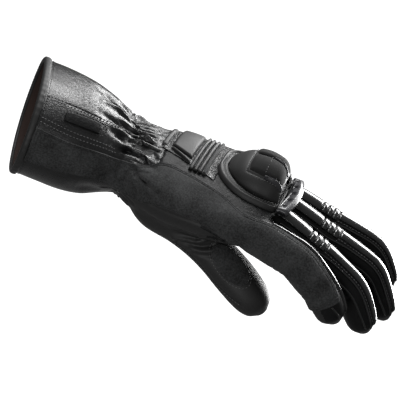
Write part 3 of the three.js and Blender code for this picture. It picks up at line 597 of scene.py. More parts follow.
def stitches(name, lines, pitch=None, thick=0.5):
    """Rows of thread along lines of points. One stitch is modelled and copied."""
    settings = bpy.context.scene.glove
    pitch = pitch or settings.stitch_pitch / MM
    bpy.ops.object.select_all(action="DESELECT")
    bpy.ops.mesh.primitive_uv_sphere_add(segments=6, ring_count=4, radius=0.5)
    obj = bpy.context.object
    obj.name = obj.data.name = name
    one = points_of(obj)
    shape = [tuple(p.vertices) for p in obj.data.polygons]
    verts, faces = [], []
    for at, out in lines:
        gaps = np.linalg.norm(np.diff(at, axis=0), axis=1)
        run = np.concatenate([[0], np.cumsum(gaps)])
        count = max(int(run[-1] / pitch), 1)
        stops = (np.arange(count) + 0.5) * run[-1] / count

        def passing(values, stops, run=run):
            return np.stack([np.interp(stops, run, values[:, i]) for i in range(3)], -1)

        p, n = passing(at, stops), unit(passing(out, stops))
        ahead = unit(passing(at, stops + 0.3) - passing(at, stops - 0.3))
        side = unit(np.cross(ahead, n))
        n = np.cross(side, ahead)
        size = np.array([pitch * 0.72, thick, thick * 0.8])
        for c, x, y, z in zip(p, ahead, side, n):
            verts.append(c + one * size @ np.stack([x, -y, z]))
            faces += [tuple(k + len(one) * (len(verts) - 1) for k in f) for f in shape]
    mesh = bpy.data.meshes.new(name)
    mesh.from_pydata([tuple(v) for v in np.concatenate(verts) * MM], [], faces)
    old = obj.data
    obj.data = mesh
    bpy.data.meshes.remove(old)
    edit(obj, outward)
    return obj


# Finishes -------------------------------------------------------------------------

def hide_group():
    """Surface of leather: pebbles, fine wrinkles and pores, by the scales given."""
    if "hide_surface" in bpy.data.node_groups:
        return bpy.data.node_groups["hide_surface"]
    g = bpy.data.node_groups.new("hide_surface", "ShaderNodeTree")
    for name, default in (("Pebble Scale", 900.0), ("Pebble", 0.5), ("Wrinkle Scale", 160.0), ("Wrinkle", 0.5),
                          ("Pore", 0.2)):
        g.interface.new_socket(name, in_out="INPUT", socket_type="NodeSocketFloat").default_value = default
    for name in ("Height", "Tone"):
        g.interface.new_socket(name, in_out="OUTPUT", socket_type="NodeSocketFloat")
    n, link = g.nodes, g.links
    gin, gout = n.new("NodeGroupInput"), n.new("NodeGroupOutput")
    where = n.new("ShaderNodeTexCoord").outputs["Object"]

    def noise(scale, detail, roughness=0.55, distortion=0.0, vector=None):
        t = n.new("ShaderNodeTexNoise")
        t.inputs["Detail"].default_value, t.inputs["Roughness"].default_value = detail, roughness
        t.inputs["Distortion"].default_value = distortion
        if isinstance(scale, float):
            t.inputs["Scale"].default_value = scale
        else:
            link.new(scale, t.inputs["Scale"])
        link.new(vector or where, t.inputs["Vector"])
        return t

    def calc(kind, a, b=None, clamp=False):
        m = n.new("ShaderNodeMath")
        m.operation, m.use_clamp = kind, clamp
        for socket, value in zip(m.inputs, (a, b)):
            if isinstance(value, (int, float)):
                socket.default_value = value
            elif value is not None:
                link.new(value, socket)
        return m.outputs[0]

    warp = n.new("ShaderNodeVectorMath")
    warp.operation = "MULTIPLY_ADD"
    link.new(noise(400.0, 2.0).outputs["Color"], warp.inputs[0])
    warp.inputs[1].default_value = (0.0011, 0.0011, 0.0011)
    link.new(where, warp.inputs[2])
    cells = n.new("ShaderNodeTexVoronoi")
    cells.feature = "DISTANCE_TO_EDGE"
    link.new(warp.outputs[0], cells.inputs["Vector"])
    link.new(gin.outputs["Pebble Scale"], cells.inputs["Scale"])
    pebble = calc("MULTIPLY", calc("MINIMUM", calc("MULTIPLY", cells.outputs["Distance"], 3.2), 1.0),
                  gin.outputs["Pebble"])
    wave = noise(gin.outputs["Wrinkle Scale"], 3.0, 0.5, 1.2).outputs["Fac"]
    off = calc("ABSOLUTE", calc("SUBTRACT", calc("MULTIPLY", wave, 2.0), 1.0))
    crease = calc("POWER", calc("SUBTRACT", 1.0, off), 6.0)
    crease = calc("MULTIPLY", crease, gin.outputs["Wrinkle"])
    pore = calc("MULTIPLY", noise(3200.0, 2.0).outputs["Fac"], gin.outputs["Pore"])
    height = calc("ADD", calc("SUBTRACT", pebble, crease), pore)
    link.new(height, gout.inputs["Height"])
    tone = calc("ADD", calc("MULTIPLY", noise(70.0, 4.0).outputs["Fac"], 0.4),
                calc("MULTIPLY", noise(850.0, 3.0, 0.75).outputs["Fac"], 0.6))
    link.new(tone, gout.inputs["Tone"])
    return g


# name: tones (a colour of the settings with its spread, or two greys), roughness, pebbles and
# their scale, wrinkles and their scale, pores, depth in mm, and values of the shader's own
FINISHES = {
    "grained_leather": (("leather", 0.4), (0.24, 0.38), 0.8, 900, 0.4, 210, 0.2, 0.1,
                        {"Coat Weight": 0.2, "Coat Roughness": 0.22}),
    "smooth_leather": (("leather", 0.2), (0.22, 0.32), 0.12, 1300, 0.3, 170, 0.08, 0.08,
                       {"Coat Weight": 0.35, "Coat Roughness": 0.22}),
    "polished_leather": (("leather", 0.2), (0.13, 0.2), 0.12, 1300, 0.3, 170, 0.08, 0.06,
                         {"Coat Weight": 0.6, "Coat Roughness": 0.12}),
    "soft_leather": (("leather", 0.3), (0.34, 0.48), 0.4, 1000, 0.5, 190, 0.2, 0.12, {"Specular IOR Level": 0.16}),
    "palm_leather": (("soft_leather", 0.5), (0.62, 0.8), 0.4, 1300, 0.4, 150, 0.6, 0.14,
                     {"Sheen Weight": 0.08, "Specular IOR Level": 0.35}),
    "matte_panel_leather": (("panel", 0.75), (0.74, 0.88), 0.5, 1500, 0.25, 110, 0.7, 0.16,
                            {"Sheen Weight": 0.1, "Specular IOR Level": 0.3}),
    "perforated_leather": (("leather", 0.35), (0.26, 0.4), 1.0, 620, 0.2, 200, 0.1, 0.4, {"Coat Weight": 0.15}),
    "lining_cloth": (("lining", 0.4), (0.85, 0.95), 0.5, 1400, 0.0, 100, 0.6, 0.3, {"Specular IOR Level": 0.02}),
    "pod_cloth": (((0.001, 0.001, 0.0012), (0.003, 0.003, 0.0034)), (0.42, 0.55), 0.5, 2200, 0.0, 100, 0.4, 0.1,
                  {"Specular IOR Level": 0.12}),
    # a pale grey base: partly the trim's own grey, partly a painted highlight that makes the ridges and the lip read
    # bright
    "gloss_trim": (((0.34, 0.343, 0.346), (0.5, 0.504, 0.508)), (0.1, 0.18), 0.0, 1000, 0.3, 120, 0.05, 0.12,
                   {"Coat Weight": 1.0, "Coat Roughness": 0.06, "Specular IOR Level": 1.0}),
    "sewing_thread": (((0.006, 0.006, 0.0065), (0.016, 0.016, 0.017)), (0.4, 0.55), 0.0, 1000, 0.0, 100, 0.5, 0.08,
                      {}),
    "pale_thread": (((0.1, 0.1, 0.101), (0.2, 0.2, 0.202)), (0.35, 0.5), 0.0, 1000, 0.0, 100, 0.5, 0.08,
                    {"Specular IOR Level": 0.6}),
}
OWN_VALUES = {"Coat Weight": 0.0, "Coat Roughness": 0.2, "Sheen Weight": 0.0, "Sheen Roughness": 0.5,
              "Specular IOR Level": 0.5}


def hide(name):
    """The material of one finish, made when it is first asked for."""
    if name in bpy.data.materials:
        return bpy.data.materials[name]
    tones, rough, pebble, pebble_scale, wrinkle, wrinkle_scale, pore, depth, own = FINISHES[name]
    if isinstance(tones[0], str):
        base = np.array(getattr(bpy.context.scene.glove, tones[0]))
        tones = (tuple(base * (1 - tones[1])), tuple(base * (1 + tones[1])))
    m = bpy.data.materials.new(name)
    m.use_nodes = True
    n, link = m.node_tree.nodes, m.node_tree.links
    shader = n["Principled BSDF"]
    surface = n.new("ShaderNodeGroup")
    surface.node_tree = hide_group()
    for key, value in (("Pebble Scale", pebble_scale), ("Pebble", pebble), ("Wrinkle Scale", wrinkle_scale),
                       ("Wrinkle", wrinkle), ("Pore", pore)):
        surface.inputs[key].default_value = value
    ramp = n.new("ShaderNodeValToRGB")
    for stop, place, tone in zip(ramp.color_ramp.elements, (0.38, 0.62), tones):
        stop.position, stop.color = place, (*tone, 1)
    link.new(surface.outputs["Tone"], ramp.inputs[0])
    link.new(ramp.outputs[0], shader.inputs["Base Color"])
    spread = n.new("ShaderNodeMapRange")
    spread.inputs["From Min"].default_value, spread.inputs["From Max"].default_value = 0.3, 0.7
    spread.inputs["To Min"].default_value, spread.inputs["To Max"].default_value = rough
    link.new(surface.outputs["Tone"], spread.inputs["Value"])
    link.new(spread.outputs[0], shader.inputs["Roughness"])
    bump = n.new("ShaderNodeBump")
    bump.inputs["Distance"].default_value = depth * MM
    bump.inputs["Strength"].default_value = 1.0
    link.new(surface.outputs["Height"], bump.inputs["Height"])
    link.new(bump.outputs[0], shader.inputs["Normal"])
    for key, value in (OWN_VALUES | own).items():
        shader.inputs[key].default_value = value
    return m


class GloveSettings(bpy.types.PropertyGroup):
    gathers: FloatProperty(name="Gathers", description="Depth of the wrist's gathers, as a share of the modelled one",
                           default=1.0, min=0.0, max=1.5, subtype="FACTOR")
    stitch_pitch: FloatProperty(name="Stitch Pitch", description="Length of one stitch with its gap",
                                default=2.3 * MM, min=0.001, max=0.006, unit="LENGTH", precision=4)
    leather: FloatVectorProperty(name="Leather", description="Colour of the back and the cuff",
                                 default=(0.009, 0.0092, 0.0095), subtype="COLOR", size=3, min=0, max=1)
    soft_leather: FloatVectorProperty(name="Soft Leather", description="Colour of the palm and the fingers",
                                      default=(0.036, 0.0365, 0.037), subtype="COLOR", size=3, min=0, max=1)
    panel: FloatVectorProperty(name="Side Panel", description="Colour of the matte side panel",
                               default=(0.04, 0.041, 0.0415), subtype="COLOR", size=3, min=0, max=1)
    lining: FloatVectorProperty(name="Lining", description="Colour of the lining",
                                default=(0.007, 0.0022, 0.002), subtype="COLOR", size=3, min=0, max=1)


# Pieces ---------------------------------------------------------------------------

class Piece(bpy.types.Operator):
    bl_options = {"REGISTER", "UNDO"}


class GLOVE_OT_cuff(Piece):
    """Adds the gauntlet cuff with its lining, its bound edge and its bare patch"""
    bl_idname = "glove.cuff"
    bl_label = "Cuff"

    def execute(self, context):
        def wall(u, v):
            a = v * 360 - 180
            end = cuff_end(a)
            at = mix(1.6, end, u)
            return ARM_SKIN.point(at, a, -2.0 * smooth(at, end - 3, end + 0.5))

        cuff = grid("cuff_leather", wall, 200, 380)
        edit(cuff, weld)
        face_out(cuff, (50, 0, 0))
        dressed(cuff, "grained_leather", "grain_leather", "gauntlet_cuff")

        bore = np.concatenate([np.linspace(1.0, 80, 30), np.linspace(84, 168, 24)])

        def lining(u, v):
            i = np.round(u * (len(bore) - 1)).astype(int)
            s = bore[i]
            drawn = 6.5 * smooth(s, 25, 48) * (1 - 0.5 * smooth(s, 105, 125))
            close = np.where(i == len(bore) - 1, 1e-4, 1.0)
            return ARM_SKIN.point(s, v * 360, -1.9 - drawn, False, close)

        inside = grid("inner_lining", lining, len(bore) - 1, 96)
        edit(inside, weld)
        face_out(inside, (60, 0, 0))
        edit(inside, bpy.ops.mesh.flip_normals)
        dressed(inside, "lining_cloth", "lining_cloth", "cuff_lining")

        profile = closed_curve([(4.9, -0.3), (4.9, 0.6), (4.0, 1.35), (2.3, 1.6), (0.7, 1.3), (-0.1, 0.2),
                                (-0.1, -1.0), (0.3, -1.9), (1.1, -2.2), (2.0, -1.9), (2.6, -1.3), (3.2, -0.9)], 24)

        def binding(u, v):
            s, over = on_profile(profile, v)
            ripple = 0.12 * np.sin(u * 2 * math.pi * 53) * smooth(over, 0, 1.5)
            return ARM_SKIN.point(s, u * 360, over + ripple, False)

        hem = grid("cuff_binding", binding, 240, 24)
        edit(hem, weld, outward)
        dressed(hem, "smooth_leather", "smooth_leather", "cuff_hem")

        patch = strip_on("cuff_patch_bare", ARM_SKIN, 21.5, 49, lambda u: (mix(41, 35.5, u), mix(51, 49, u)),
                         1.2, 44, 22, 0.7, 0.1, 0.22)
        dressed(patch, "soft_leather", "smooth_leather", "cuff_patch")
        return {"FINISHED"}


def cuff_end(a):
    """How far the cuff's gathered leather runs under the hand's."""
    return mix(81.0, 101.0, smooth(76 - np.abs(a), 0, 12))


def union_tree():
    """The leather under the sewn-on pieces, to lay them on."""
    verts, faces = [], []
    for name in ("cuff_leather", "hand_leather"):
        me = bpy.data.objects[name].data
        first = len(verts)
        verts += [v.co.copy() for v in me.vertices]
        faces += [tuple(first + k for k in p.vertices) for p in me.polygons]
    return BVHTree.FromPolygons(verts, faces)


class GLOVE_OT_hand(Piece):
    """Adds the hand with its fingers and thumb in soft leather"""
    bl_idname = "glove.hand"
    bl_label = "Hand"

    def execute(self, context):
        places = np.concatenate([np.linspace(70, 110, 60), np.linspace(111, 183, 60)])

        def body(u, v):
            at = places[np.round(u * (len(places) - 1)).astype(int)]
            a = v * 360 - 180
            end = cuff_end(a)
            return ARM_SKIN.point(at, a, -2.4 * (1 - smooth(at, end - 4, end - 1)))

        parts = [grid("hand_leather", body, len(places) - 1, 220)]
        edit(parts[0], weld)
        for name, skin in FINGER_SKINS.items():
            stations = np.concatenate([[-20], np.linspace(-19, skin.length - 0.4, 110)])
            parts.append(ring_tube(name + "_part", skin, stations, 90))
        parts.append(ring_tube("thumb_part", THUMB_SKIN, np.linspace(0, 121.6, 110), 100))
        for part in parts:
            close_holes(part)
        bpy.ops.object.select_all(action="DESELECT")
        for part in parts:
            part.select_set(True)
        hand = parts[0]
        bpy.context.view_layer.objects.active = hand
        bpy.ops.object.join()
        finish_with(hand, "REMESH", mode="VOXEL", voxel_size=1.09 * MM, adaptivity=0.0)
        finish_with(hand, "SMOOTH", factor=0.5, iterations=4)
        edit(hand, lambda: bpy.ops.mesh.bisect(plane_co=(74.6 * MM, 0, 0), plane_no=(1, 0, 0), clear_inner=True))
        press(hand, hand_folds())
        dressed(hand, "palm_leather", "palm_leather", "hand_shell", "thumb_sleeve",
                *[f"{name}_sleeve" for name in FINGERS])
        hand.data.materials.append(hide("soft_leather"))
        paint_back(hand)
        return {"FINISHED"}


def hand_folds():
    """Seams and folds of the hand, as lines with their width and height."""
    marks = []
    for skin, places, width, height in (
            (THUMB_SKIN, [(44, 132), (51, 114), (58, 97), (61, 72)], 1.5, 1.6),
            (THUMB_SKIN, [(48, 134), (55, 118), (62, 100), (66, 76)], 1.2, -1.5),
            (THUMB_SKIN, [(58, 124), (64, 108), (69, 84)], 1.4, 1.2),
            (THUMB_SKIN, [(62, 128), (68, 110), (72, 92)], 1.1, -1.0),
            (THUMB_SKIN, [(46, 148), (57.5, 146), (80, 150), (95.5, 138), (108, 124)], 1.0, -0.9),
            (THUMB_SKIN, [(66, -60), (64, -20), (66, 20)], 2.0, -1.0),
            (THUMB_SKIN, [(76, -60), (74, -30), (75, 0)], 2.0, -0.8),
            (ARM_SKIN, [(142, 104), (147, 100.5), (156, 98), (164, 100)], 1.5, 1.3),
            (ARM_SKIN, [(160, 99), (168, 100), (175, 101)], 1.2, -1.4),
            (ARM_SKIN, [(155, 86), (156.5, 90), (158.5, 97.5)], 1.0, -1.2),
            (ARM_SKIN, [(78.5, 114), (87, 115.5)], 1.5, -0.9), (ARM_SKIN, [(84, 108), (92, 112)], 1.3, -0.8),
            (ARM_SKIN, [(104.5, 96), (122.5, 93), (140, 90), (156, 94.5)], 0.9, -0.8),
            (ARM_SKIN, [(100, 112), (118, 112), (136, 108)], 2.5, -0.8),
            (ARM_SKIN, [(96, 124), (112, 128), (130, 124)], 2.5, 0.8)):
        marks.append((line_on(skin, places, 0)[0], width, height))
    for name, skin in FINGER_SKINS.items():
        for at in (0.3, 0.36, 0.42, 0.66, 0.72):
            for side in (-1, 1):
                places = [(at * skin.length, side * 78), ((at + 0.01) * skin.length, side * 120),
                          (at * skin.length, side * 172)]
                marks.append((line_on(skin, places, 0)[0], 1.1, -0.4))
    return marks


def press(hand, marks):
    """Moves the leather along its normals, where it lies near the lines of marks."""
    tree = KDTree(sum(len(line) for line, _, _ in marks))
    owner = []
    for k, (line, _, _) in enumerate(marks):
        for p in line:
            tree.insert(Vector(p * MM), len(owner))
            owner.append(k)
    tree.balance()
    moved, reach = points_of(hand) / MM, 6 * MM
    for i, vertex in enumerate(hand.data.vertices):
        best = {}
        for _, k, distance in tree.find_range(vertex.co, reach):
            mark = owner[k]
            best[mark] = min(best.get(mark, 9.0), distance / MM)
        shift = sum(marks[k][2] * math.exp(-(d / marks[k][1]) ** 2) for k, d in best.items())
        if shift:
            moved[i] += np.array(vertex.normal) * shift
    lay(hand, moved)


def paint_back(hand):
    """Gives the back of the hand and of the fingers the glossier leather.
    A face goes by its nearest centreline."""
    skins = [ARM_SKIN, *FINGER_SKINS.values(), THUMB_SKIN]
    spans = [(76, ARM - 6), *[(4, skin.length) for skin in FINGER_SKINS.values()], (30, THUMB)]
    limits = [0.1, -0.15, -0.5, -0.5, -0.5, 9]
    count = 60
    tree = KDTree(count * len(skins))
    ups, bounds = [], []
    for skin, (start, end), limit in zip(skins, spans, limits):
        centre, _, up = skin.frame_at(np.linspace(start, end, count))
        for c, n in zip(centre, up):
            tree.insert(Vector(c * MM), len(ups))
            ups.append(Vector(n))
            bounds.append(limit)
    tree.balance()
    index = [0] * len(hand.data.polygons)
    for i, face in enumerate(hand.data.polygons):
        k = tree.find(face.center)[1]
        index[i] = int(face.normal.dot(ups[k]) > bounds[k])
    hand.data.polygons.foreach_set("material_index", index)
    hand.data.update()


PANEL_ON_ARM = [(0, 65, 98), (0.15, 66, 95), (0.3, 64.5, 92), (0.41, 65, 104), (0.51, 61, 102), (0.58, 49, 96),
                (0.64, 49, 91), (0.78, 56, 89), (0.92, 66, 96), (1, 70, 104)]
PANEL_ON_INDEX = [(0, 30, 140), (0.18, 18, 150), (0.36, 2, 160), (0.58, 5, 165), (0.84, 10, 165), (1, 26, 160)]
INDEX_AT = ARM - 0.03 * PALM
PANEL_FROM = 5.2
PANEL_ALONG_INDEX = 0.83 * 86.9
PANEL_TO = INDEX_AT + PANEL_ALONG_INDEX
PANEL_LONG = 236


def panel_guess(u, v):
    """Where the side panel lies before it is pressed on the leather, and its centreline."""
    s = mix(PANEL_FROM, PANEL_TO, u)
    upper, lower = table(PANEL_ON_ARM, (s - 5.3) / (ARM + 2 - 5.3))
    on_arm_s = np.minimum(s, ARM + 8)
    on_arm = ARM_SKIN.point(on_arm_s, mix(upper, lower, v), 0, False)
    arm_centre = arm_frame(on_arm_s)[0]
    skin = FINGER_SKINS["index"]
    t = np.maximum(s - INDEX_AT, -19.0)
    upper, lower = table(PANEL_ON_INDEX, (t + 16) / (PANEL_ALONG_INDEX + 16))
    on_index = skin.point(t, mix(upper, lower, v), 0, False)
    w = smooth(s, 146, 182)[..., None]
    centre = mix(arm_centre, skin.frame_at(t)[0], w)
    return mix(on_arm, on_index, w), centre


class Panel:
    """The side panel's surface, kept as a grid so that its seams can follow it."""
    LONG, WIDE = 300, 44

    def __init__(self):
        tree = union_tree()
        u, v = np.meshgrid(np.linspace(0, 1, self.LONG + 1), np.linspace(0, 1, self.WIDE + 1), indexing="ij")
        at, centre = panel_guess(u, v)
        self.out = unit(at - centre)
        reach = np.linalg.norm(at - centre, axis=-1)
        top = np.zeros_like(reach)
        for i in np.ndindex(reach.shape):
            start = Vector((at[i] + self.out[i] * 7) * MM)
            hit = tree.ray_cast(start, Vector(-self.out[i]), 16 * MM)
            top[i] = 7 - hit[3] / MM if hit[0] is not None else 0.0
        for _ in range(3):
            pad = np.pad(top, 1, mode="edge")
            top = (4 * top + pad[:-2, 1:-1] + pad[2:, 1:-1] + pad[1:-1, :-2] + pad[1:-1, 2:]) / 8
        self.at = at + self.out * top[..., None]

    def sample(self, grid_values, u, v):
        x, y = np.clip(u, 0, 1) * self.LONG, np.clip(v, 0, 1) * self.WIDE
        i, j = np.minimum(x.astype(int), self.LONG - 1), np.minimum(y.astype(int), self.WIDE - 1)
        f, g = (x - i)[..., None], (y - j)[..., None]
        a, b = grid_values[i, j], grid_values[i + 1, j]
        c, d = grid_values[i, j + 1], grid_values[i + 1, j + 1]
        return mix(mix(a, b, f), mix(c, d, f), g)

    def point(self, u, v, over):
        return self.sample(self.at, u, v) + self.sample(self.out, u, v) * np.asarray(over)[..., None]

    def line(self, places, over=1.5):
        size = np.array([[PANEL_LONG], [50]])
        u, v = dense([(x * size[0, 0], y * size[1, 0]) for x, y in places], 0.5).T / size
        return self.point(u, v, np.full(len(u), over)), unit(self.sample(self.out, u, v))


class GLOVE_OT_side_panel(Piece):
    """Adds the matte side panel, from the bound edge to the index fingertip"""
    bl_idname = "glove.side_panel"
    bl_label = "Side Panel"

    def execute(self, context):
        panel = Panel()

        def surface(u, v):
            edge = np.minimum(np.minimum(v, 1 - v) * 46, np.minimum(u, 1 - u) * PANEL_LONG)
            down = turned(edge / 0.9)
            # the leather is drawn down along its rows of thread
            rows = np.exp(-((edge - 1.9) / 0.45) ** 2) * 0.55
            rows = rows + np.exp(-((edge - 4.1) / 0.45) ** 2) * 0.55 * (v < 0.5)
            s = mix(PANEL_FROM, PANEL_TO, u)
            crease = folds(s, v * 40, [([(84, 4), (92, 16), (103, 26), (112, 33)], 1.8, -1.8),
                                       ([(60, 8), (70, 12), (78, 20)], 3.0, -0.5),
                                       ([(40, 14), (52, 22), (64, 24)], 4.0, -0.5),
                                       ([(66, 26), (76, 30), (84, 30)], 2.5, -0.5)])
            return panel.point(u, v, 1.45 * down - 0.35 * (1 - down) - rows + crease)

        obj = grid("side_panel_leather", surface, 420, 70, 0.15)
        face_out(obj, (100, 0, 0))
        thicken(obj, 0.9)
        dressed(obj, "matte_panel_leather", "matte_leather", "side_panel")
        upper, inner, lower = (panel.line([(x, v) for x in np.linspace(0.012, 0.985, 60)], 1.05)
                               for v in (0.041, 0.089, 0.957))
        end = panel.line([(0.986, y) for y in np.linspace(0.06, 0.94, 12)], 1.35)
        dressed(stitches("panel_thread", [upper, inner, end, lower], thick=0.7), "sewing_thread", "matte_leather")
        return {"FINISHED"}


class GLOVE_OT_back(Piece):
    """Adds the pads and ribs on the back of the hand"""
    bl_idname = "glove.back"
    bl_label = "Back Pads and Ribs"

    def execute(self, context):
        for name, node, finish, start, end, back, front, height, along, across, more in (
                ("back_mesh", None, "perforated_leather", 0.225, 0.64, (-60, 22), (-60, 48), 0.5, 60, 120,
                 {"turn": 0.8, "crown": 0.0, "base": 0.2}),
                ("back_edge", "back_edge_strip", "smooth_leather", 0.209, 0.25, (-52, 14), (-52, 14), 2.0, 14, 110,
                 {"turn": 1.6}),
                ("back_pad_leather", "back_pad", "smooth_leather", 0.276, 0.444, (-57, 8), (-57, 24), 3.3, 40, 110,
                 {"turn": 2.2, "corner": 0.12}),
                ("back_side_pad_leather", "back_side_pad", "smooth_leather", 0.281, 0.444, (11, 17), (27, 36), 2.5,
                 40, 20, {"turn": 1.6, "corner": 0.2})):
            def span(u, back=back, front=front):
                return mix(back[0], front[0], u), mix(back[1], front[1], u)

            piece = strip_on(name, ARM_SKIN, CUFF + start * PALM, CUFF + end * PALM, span, height, along, across,
                             detail=False, **more)
            dressed(piece, finish, "smooth_leather", *([node] if node else []))

        first, pitch = CUFF + PALM * 0.453, 3.1
        for i in range(4):
            start = first + i * pitch
            rib = strip_on(f"back_rib_{i + 1}_leather", ARM_SKIN, start - 0.2, start + 2.85, lambda u: (-58, 44),
                           2.5, 16, 110, turn=1.5, crown=0.1, detail=False)
            looks = ("smooth_leather", "smooth_leather") if i < 3 else ("matte_panel_leather", "matte_leather")
            dressed(rib, *looks, f"back_rib_{i + 1}")
        return {"FINISHED"}


class GLOVE_OT_guard(Piece):
    """Adds the knuckle guard: its padded rim, dome, pods, ridges and vented lip"""
    bl_idname = "glove.guard"
    bl_label = "Knuckle Guard"

    def execute(self, context):
        inner_point = arm_frame(np.array(160.0))[0]
        loop_u = np.concatenate([np.linspace(0, 1, 40)[:-1], np.ones(30), np.linspace(1, 0, 40)[:-1], np.zeros(24)])
        loop_v = np.concatenate([np.zeros(39), np.linspace(0, 1, 31)[:-1], np.ones(39), np.linspace(1, 0, 25)[:-1]])
        n = len(loop_u)
        far0, near0 = guard_edge(loop_u, 0)
        far1, near1 = guard_edge(loop_u, RIM - 0.2)
        outer_s, outer_x = GUARD_BACK + GUARD_LENGTH * loop_u, mix(far0, near0, loop_v)
        inner_s = DOME_BACK + DOME_LENGTH * loop_u + np.where(loop_u == 0, -0.3, 0) + np.where(loop_u == 1, 0.3, 0)
        inner_x = mix(far1, near1, loop_v)

        def even(line):
            for _ in range(6):
                line = (np.roll(line, 1, 0) + 2 * line + np.roll(line, -1, 0)) / 4
            return line

        outer_s, outer_x, inner_s, inner_x = (even(x) for x in (outer_s, outer_x, inner_s, inner_x))
        profile = closed_curve([(-0.04, 0.0), (-0.06, 1.2), (0.02, 2.6), (0.17, 3.5), (0.33, 3.4), (0.44, 2.5),
                                (0.5, 2.15), (0.62, 2.5), (0.8, 2.7), (0.97, 2.5), (1.02, 1.4), (1.0, 0.4),
                                (0.6, 0.0), (0.3, 0.0)], 44)

        def rim(u, v):
            i = np.round(u * n).astype(int) % n
            t, rise = on_profile(profile, v)
            return back_point(mix(outer_s[i], inner_s[i], t), mix(outer_x[i], inner_x[i], t), rise)

        flange = grid("guard_rim", rim, n, 44)
        edit(flange, weld, outward)
        dressed(flange, "smooth_leather", "smooth_leather", "knuckle_flange")

        def dome(u, v):
            # the leather is drawn down along the pods' seam and between the pods
            rear = np.exp(-(((u - 0.355) / 0.014) ** 2)) * smooth(v, 0.04, 0.1) * smooth(0.9 - v, 0, 0.03) * 0.5
            side = np.exp(-(((v - 0.885) / 0.014) ** 2)) * smooth(u, 0.34, 0.37) * 0.5
            valley = np.exp(-(((v - 0.462) / 0.05) ** 2)) * smooth(u, 0.36, 0.6) * 1.2
            return dome_point(u, v, -rear - side - valley)

        obj = face_out(grid("guard_dome", dome, 110, 110, 0.5), inner_point)
        thicken(obj, 2.2)
        dressed(obj, "smooth_leather", "smooth_leather", "knuckle_dome")

        for name, node, start, far, near in (("guard_pod_middle", "knuckle_pod_middle", 0.365, 0.478, 0.862),
                                             ("guard_pod_ring", "knuckle_pod_ring", 0.365, 0.06, 0.452)):
            def pod(u, v):
                x, y = rounded(u, v, 0.3)
                over = 0.2 + pillow(2.2, 22, 17, u, v, 2.4, 0.5)
                return dome_point(mix(start, 0.985, x), mix(far, near, y), over)

            obj = face_out(grid(name, pod, 60, 44, 0.5), inner_point)
            thicken(obj)
            dressed(obj, "pod_cloth", "pod_cloth", node)

        for name, node, at in (("guard_ridge_near", "knuckle_ridge_near", 0.872),
                               ("guard_ridge_middle", "knuckle_ridge_middle", 0.4645)):
            def ridge(u, v):
                over = 0.1 + pillow(2.5, 14, 2.4, u, v, 1.0, 0.2)
                return dome_point(mix(0.66, 0.995, u), at + (v - 0.5) * mix(0.015, 0.06, u), over)

            obj = face_out(grid(name, ridge, 40, 14, 0.4), inner_point)
            thicken(obj)
            # the ridges' pale grey colour is a painted highlight
            dressed(obj, "gloss_trim", "gloss_trim", node)

        lip_back = GUARD_BACK + GUARD_LENGTH + 0.3
        lip_profile = closed_curve([(0.0, 0.4), (0.0, 3.2), (0.25, 4.4), (0.6, 5.2), (0.9, 4.8), (1.02, 3.4),
                                    (1.0, 1.6), (0.8, 0.4), (0.4, -0.4)], 30)

        def lip(u, v):
            t, rise = on_profile(lip_profile, v)
            across = mix(-0.89 * GUARD_HALF, 0.86 * GUARD_HALF, u) - GUARD_SHIFT
            bow = 3.5 * (1 - (2 * u - 1) ** 2)
            end = turned(np.minimum(u, 1 - u) * 20)
            vents = 5.0
            vent = np.maximum(0, np.cos(u * 2 * math.pi * vents) * -1) ** 0.8
            vent = vent * smooth(u, 0.08, 0.14) * smooth(1 - u, 0.08, 0.14)
            cut = vent * 2.4 * np.exp(-((t - 0.22) / 0.16) ** 2) * (rise > 2)
            return back_point(lip_back + 7 * t + bow, across, 1.2 + (rise - cut) * (0.45 + 0.55 * end))

        obj = grid("guard_lip", lip, 160, 30)
        close_holes(obj, weld)
        # the lip's pale grey colour is partly its own grey and partly a painted highlight
        dressed(obj, "gloss_trim", "gloss_trim", "knuckle_lip")

        rows = []
        for share, height in ((-0.16, 2.35), (0.3, 2.75)):
            s, x = mix(inner_s, outer_s, share), mix(inner_x, outer_x, share)
            keep = np.r_[np.arange(66, n), np.arange(0, 42)]
            line = back_point(s, x, np.full(n, height))
            up = back_point(s, x, np.full(n, height + 1)) - line
            rows.append((line[keep], unit(up)[keep]))
        pod_edge = [(0.345, v) for v in np.linspace(0.05, 0.885, 20)] + [(u, 0.9) for u in np.linspace(0.37, 0.9, 14)]
        pod_cross = [(0.66, v) for v in np.linspace(0.49, 0.85, 10)]
        for path in (pod_edge, pod_cross):
            u, v = dense([(x * 38, y * 44) for x, y in path], 0.5).T / np.array([[38], [44]])
            over = np.where(np.abs(u - 0.66) < 1e-6, 2.2, 0.25)
            line = dome_point(u, v, over)
            rows.append((line, unit(dome_point(u, v, over + 1) - line)))
        dressed(stitches("guard_thread", rows, 1.9), "pale_thread", "smooth_leather")
        return {"FINISHED"}


OVAL_AT, OVAL_HALF = (83, 75), (16.5, 33)  # the thumb's patch, by length and angle


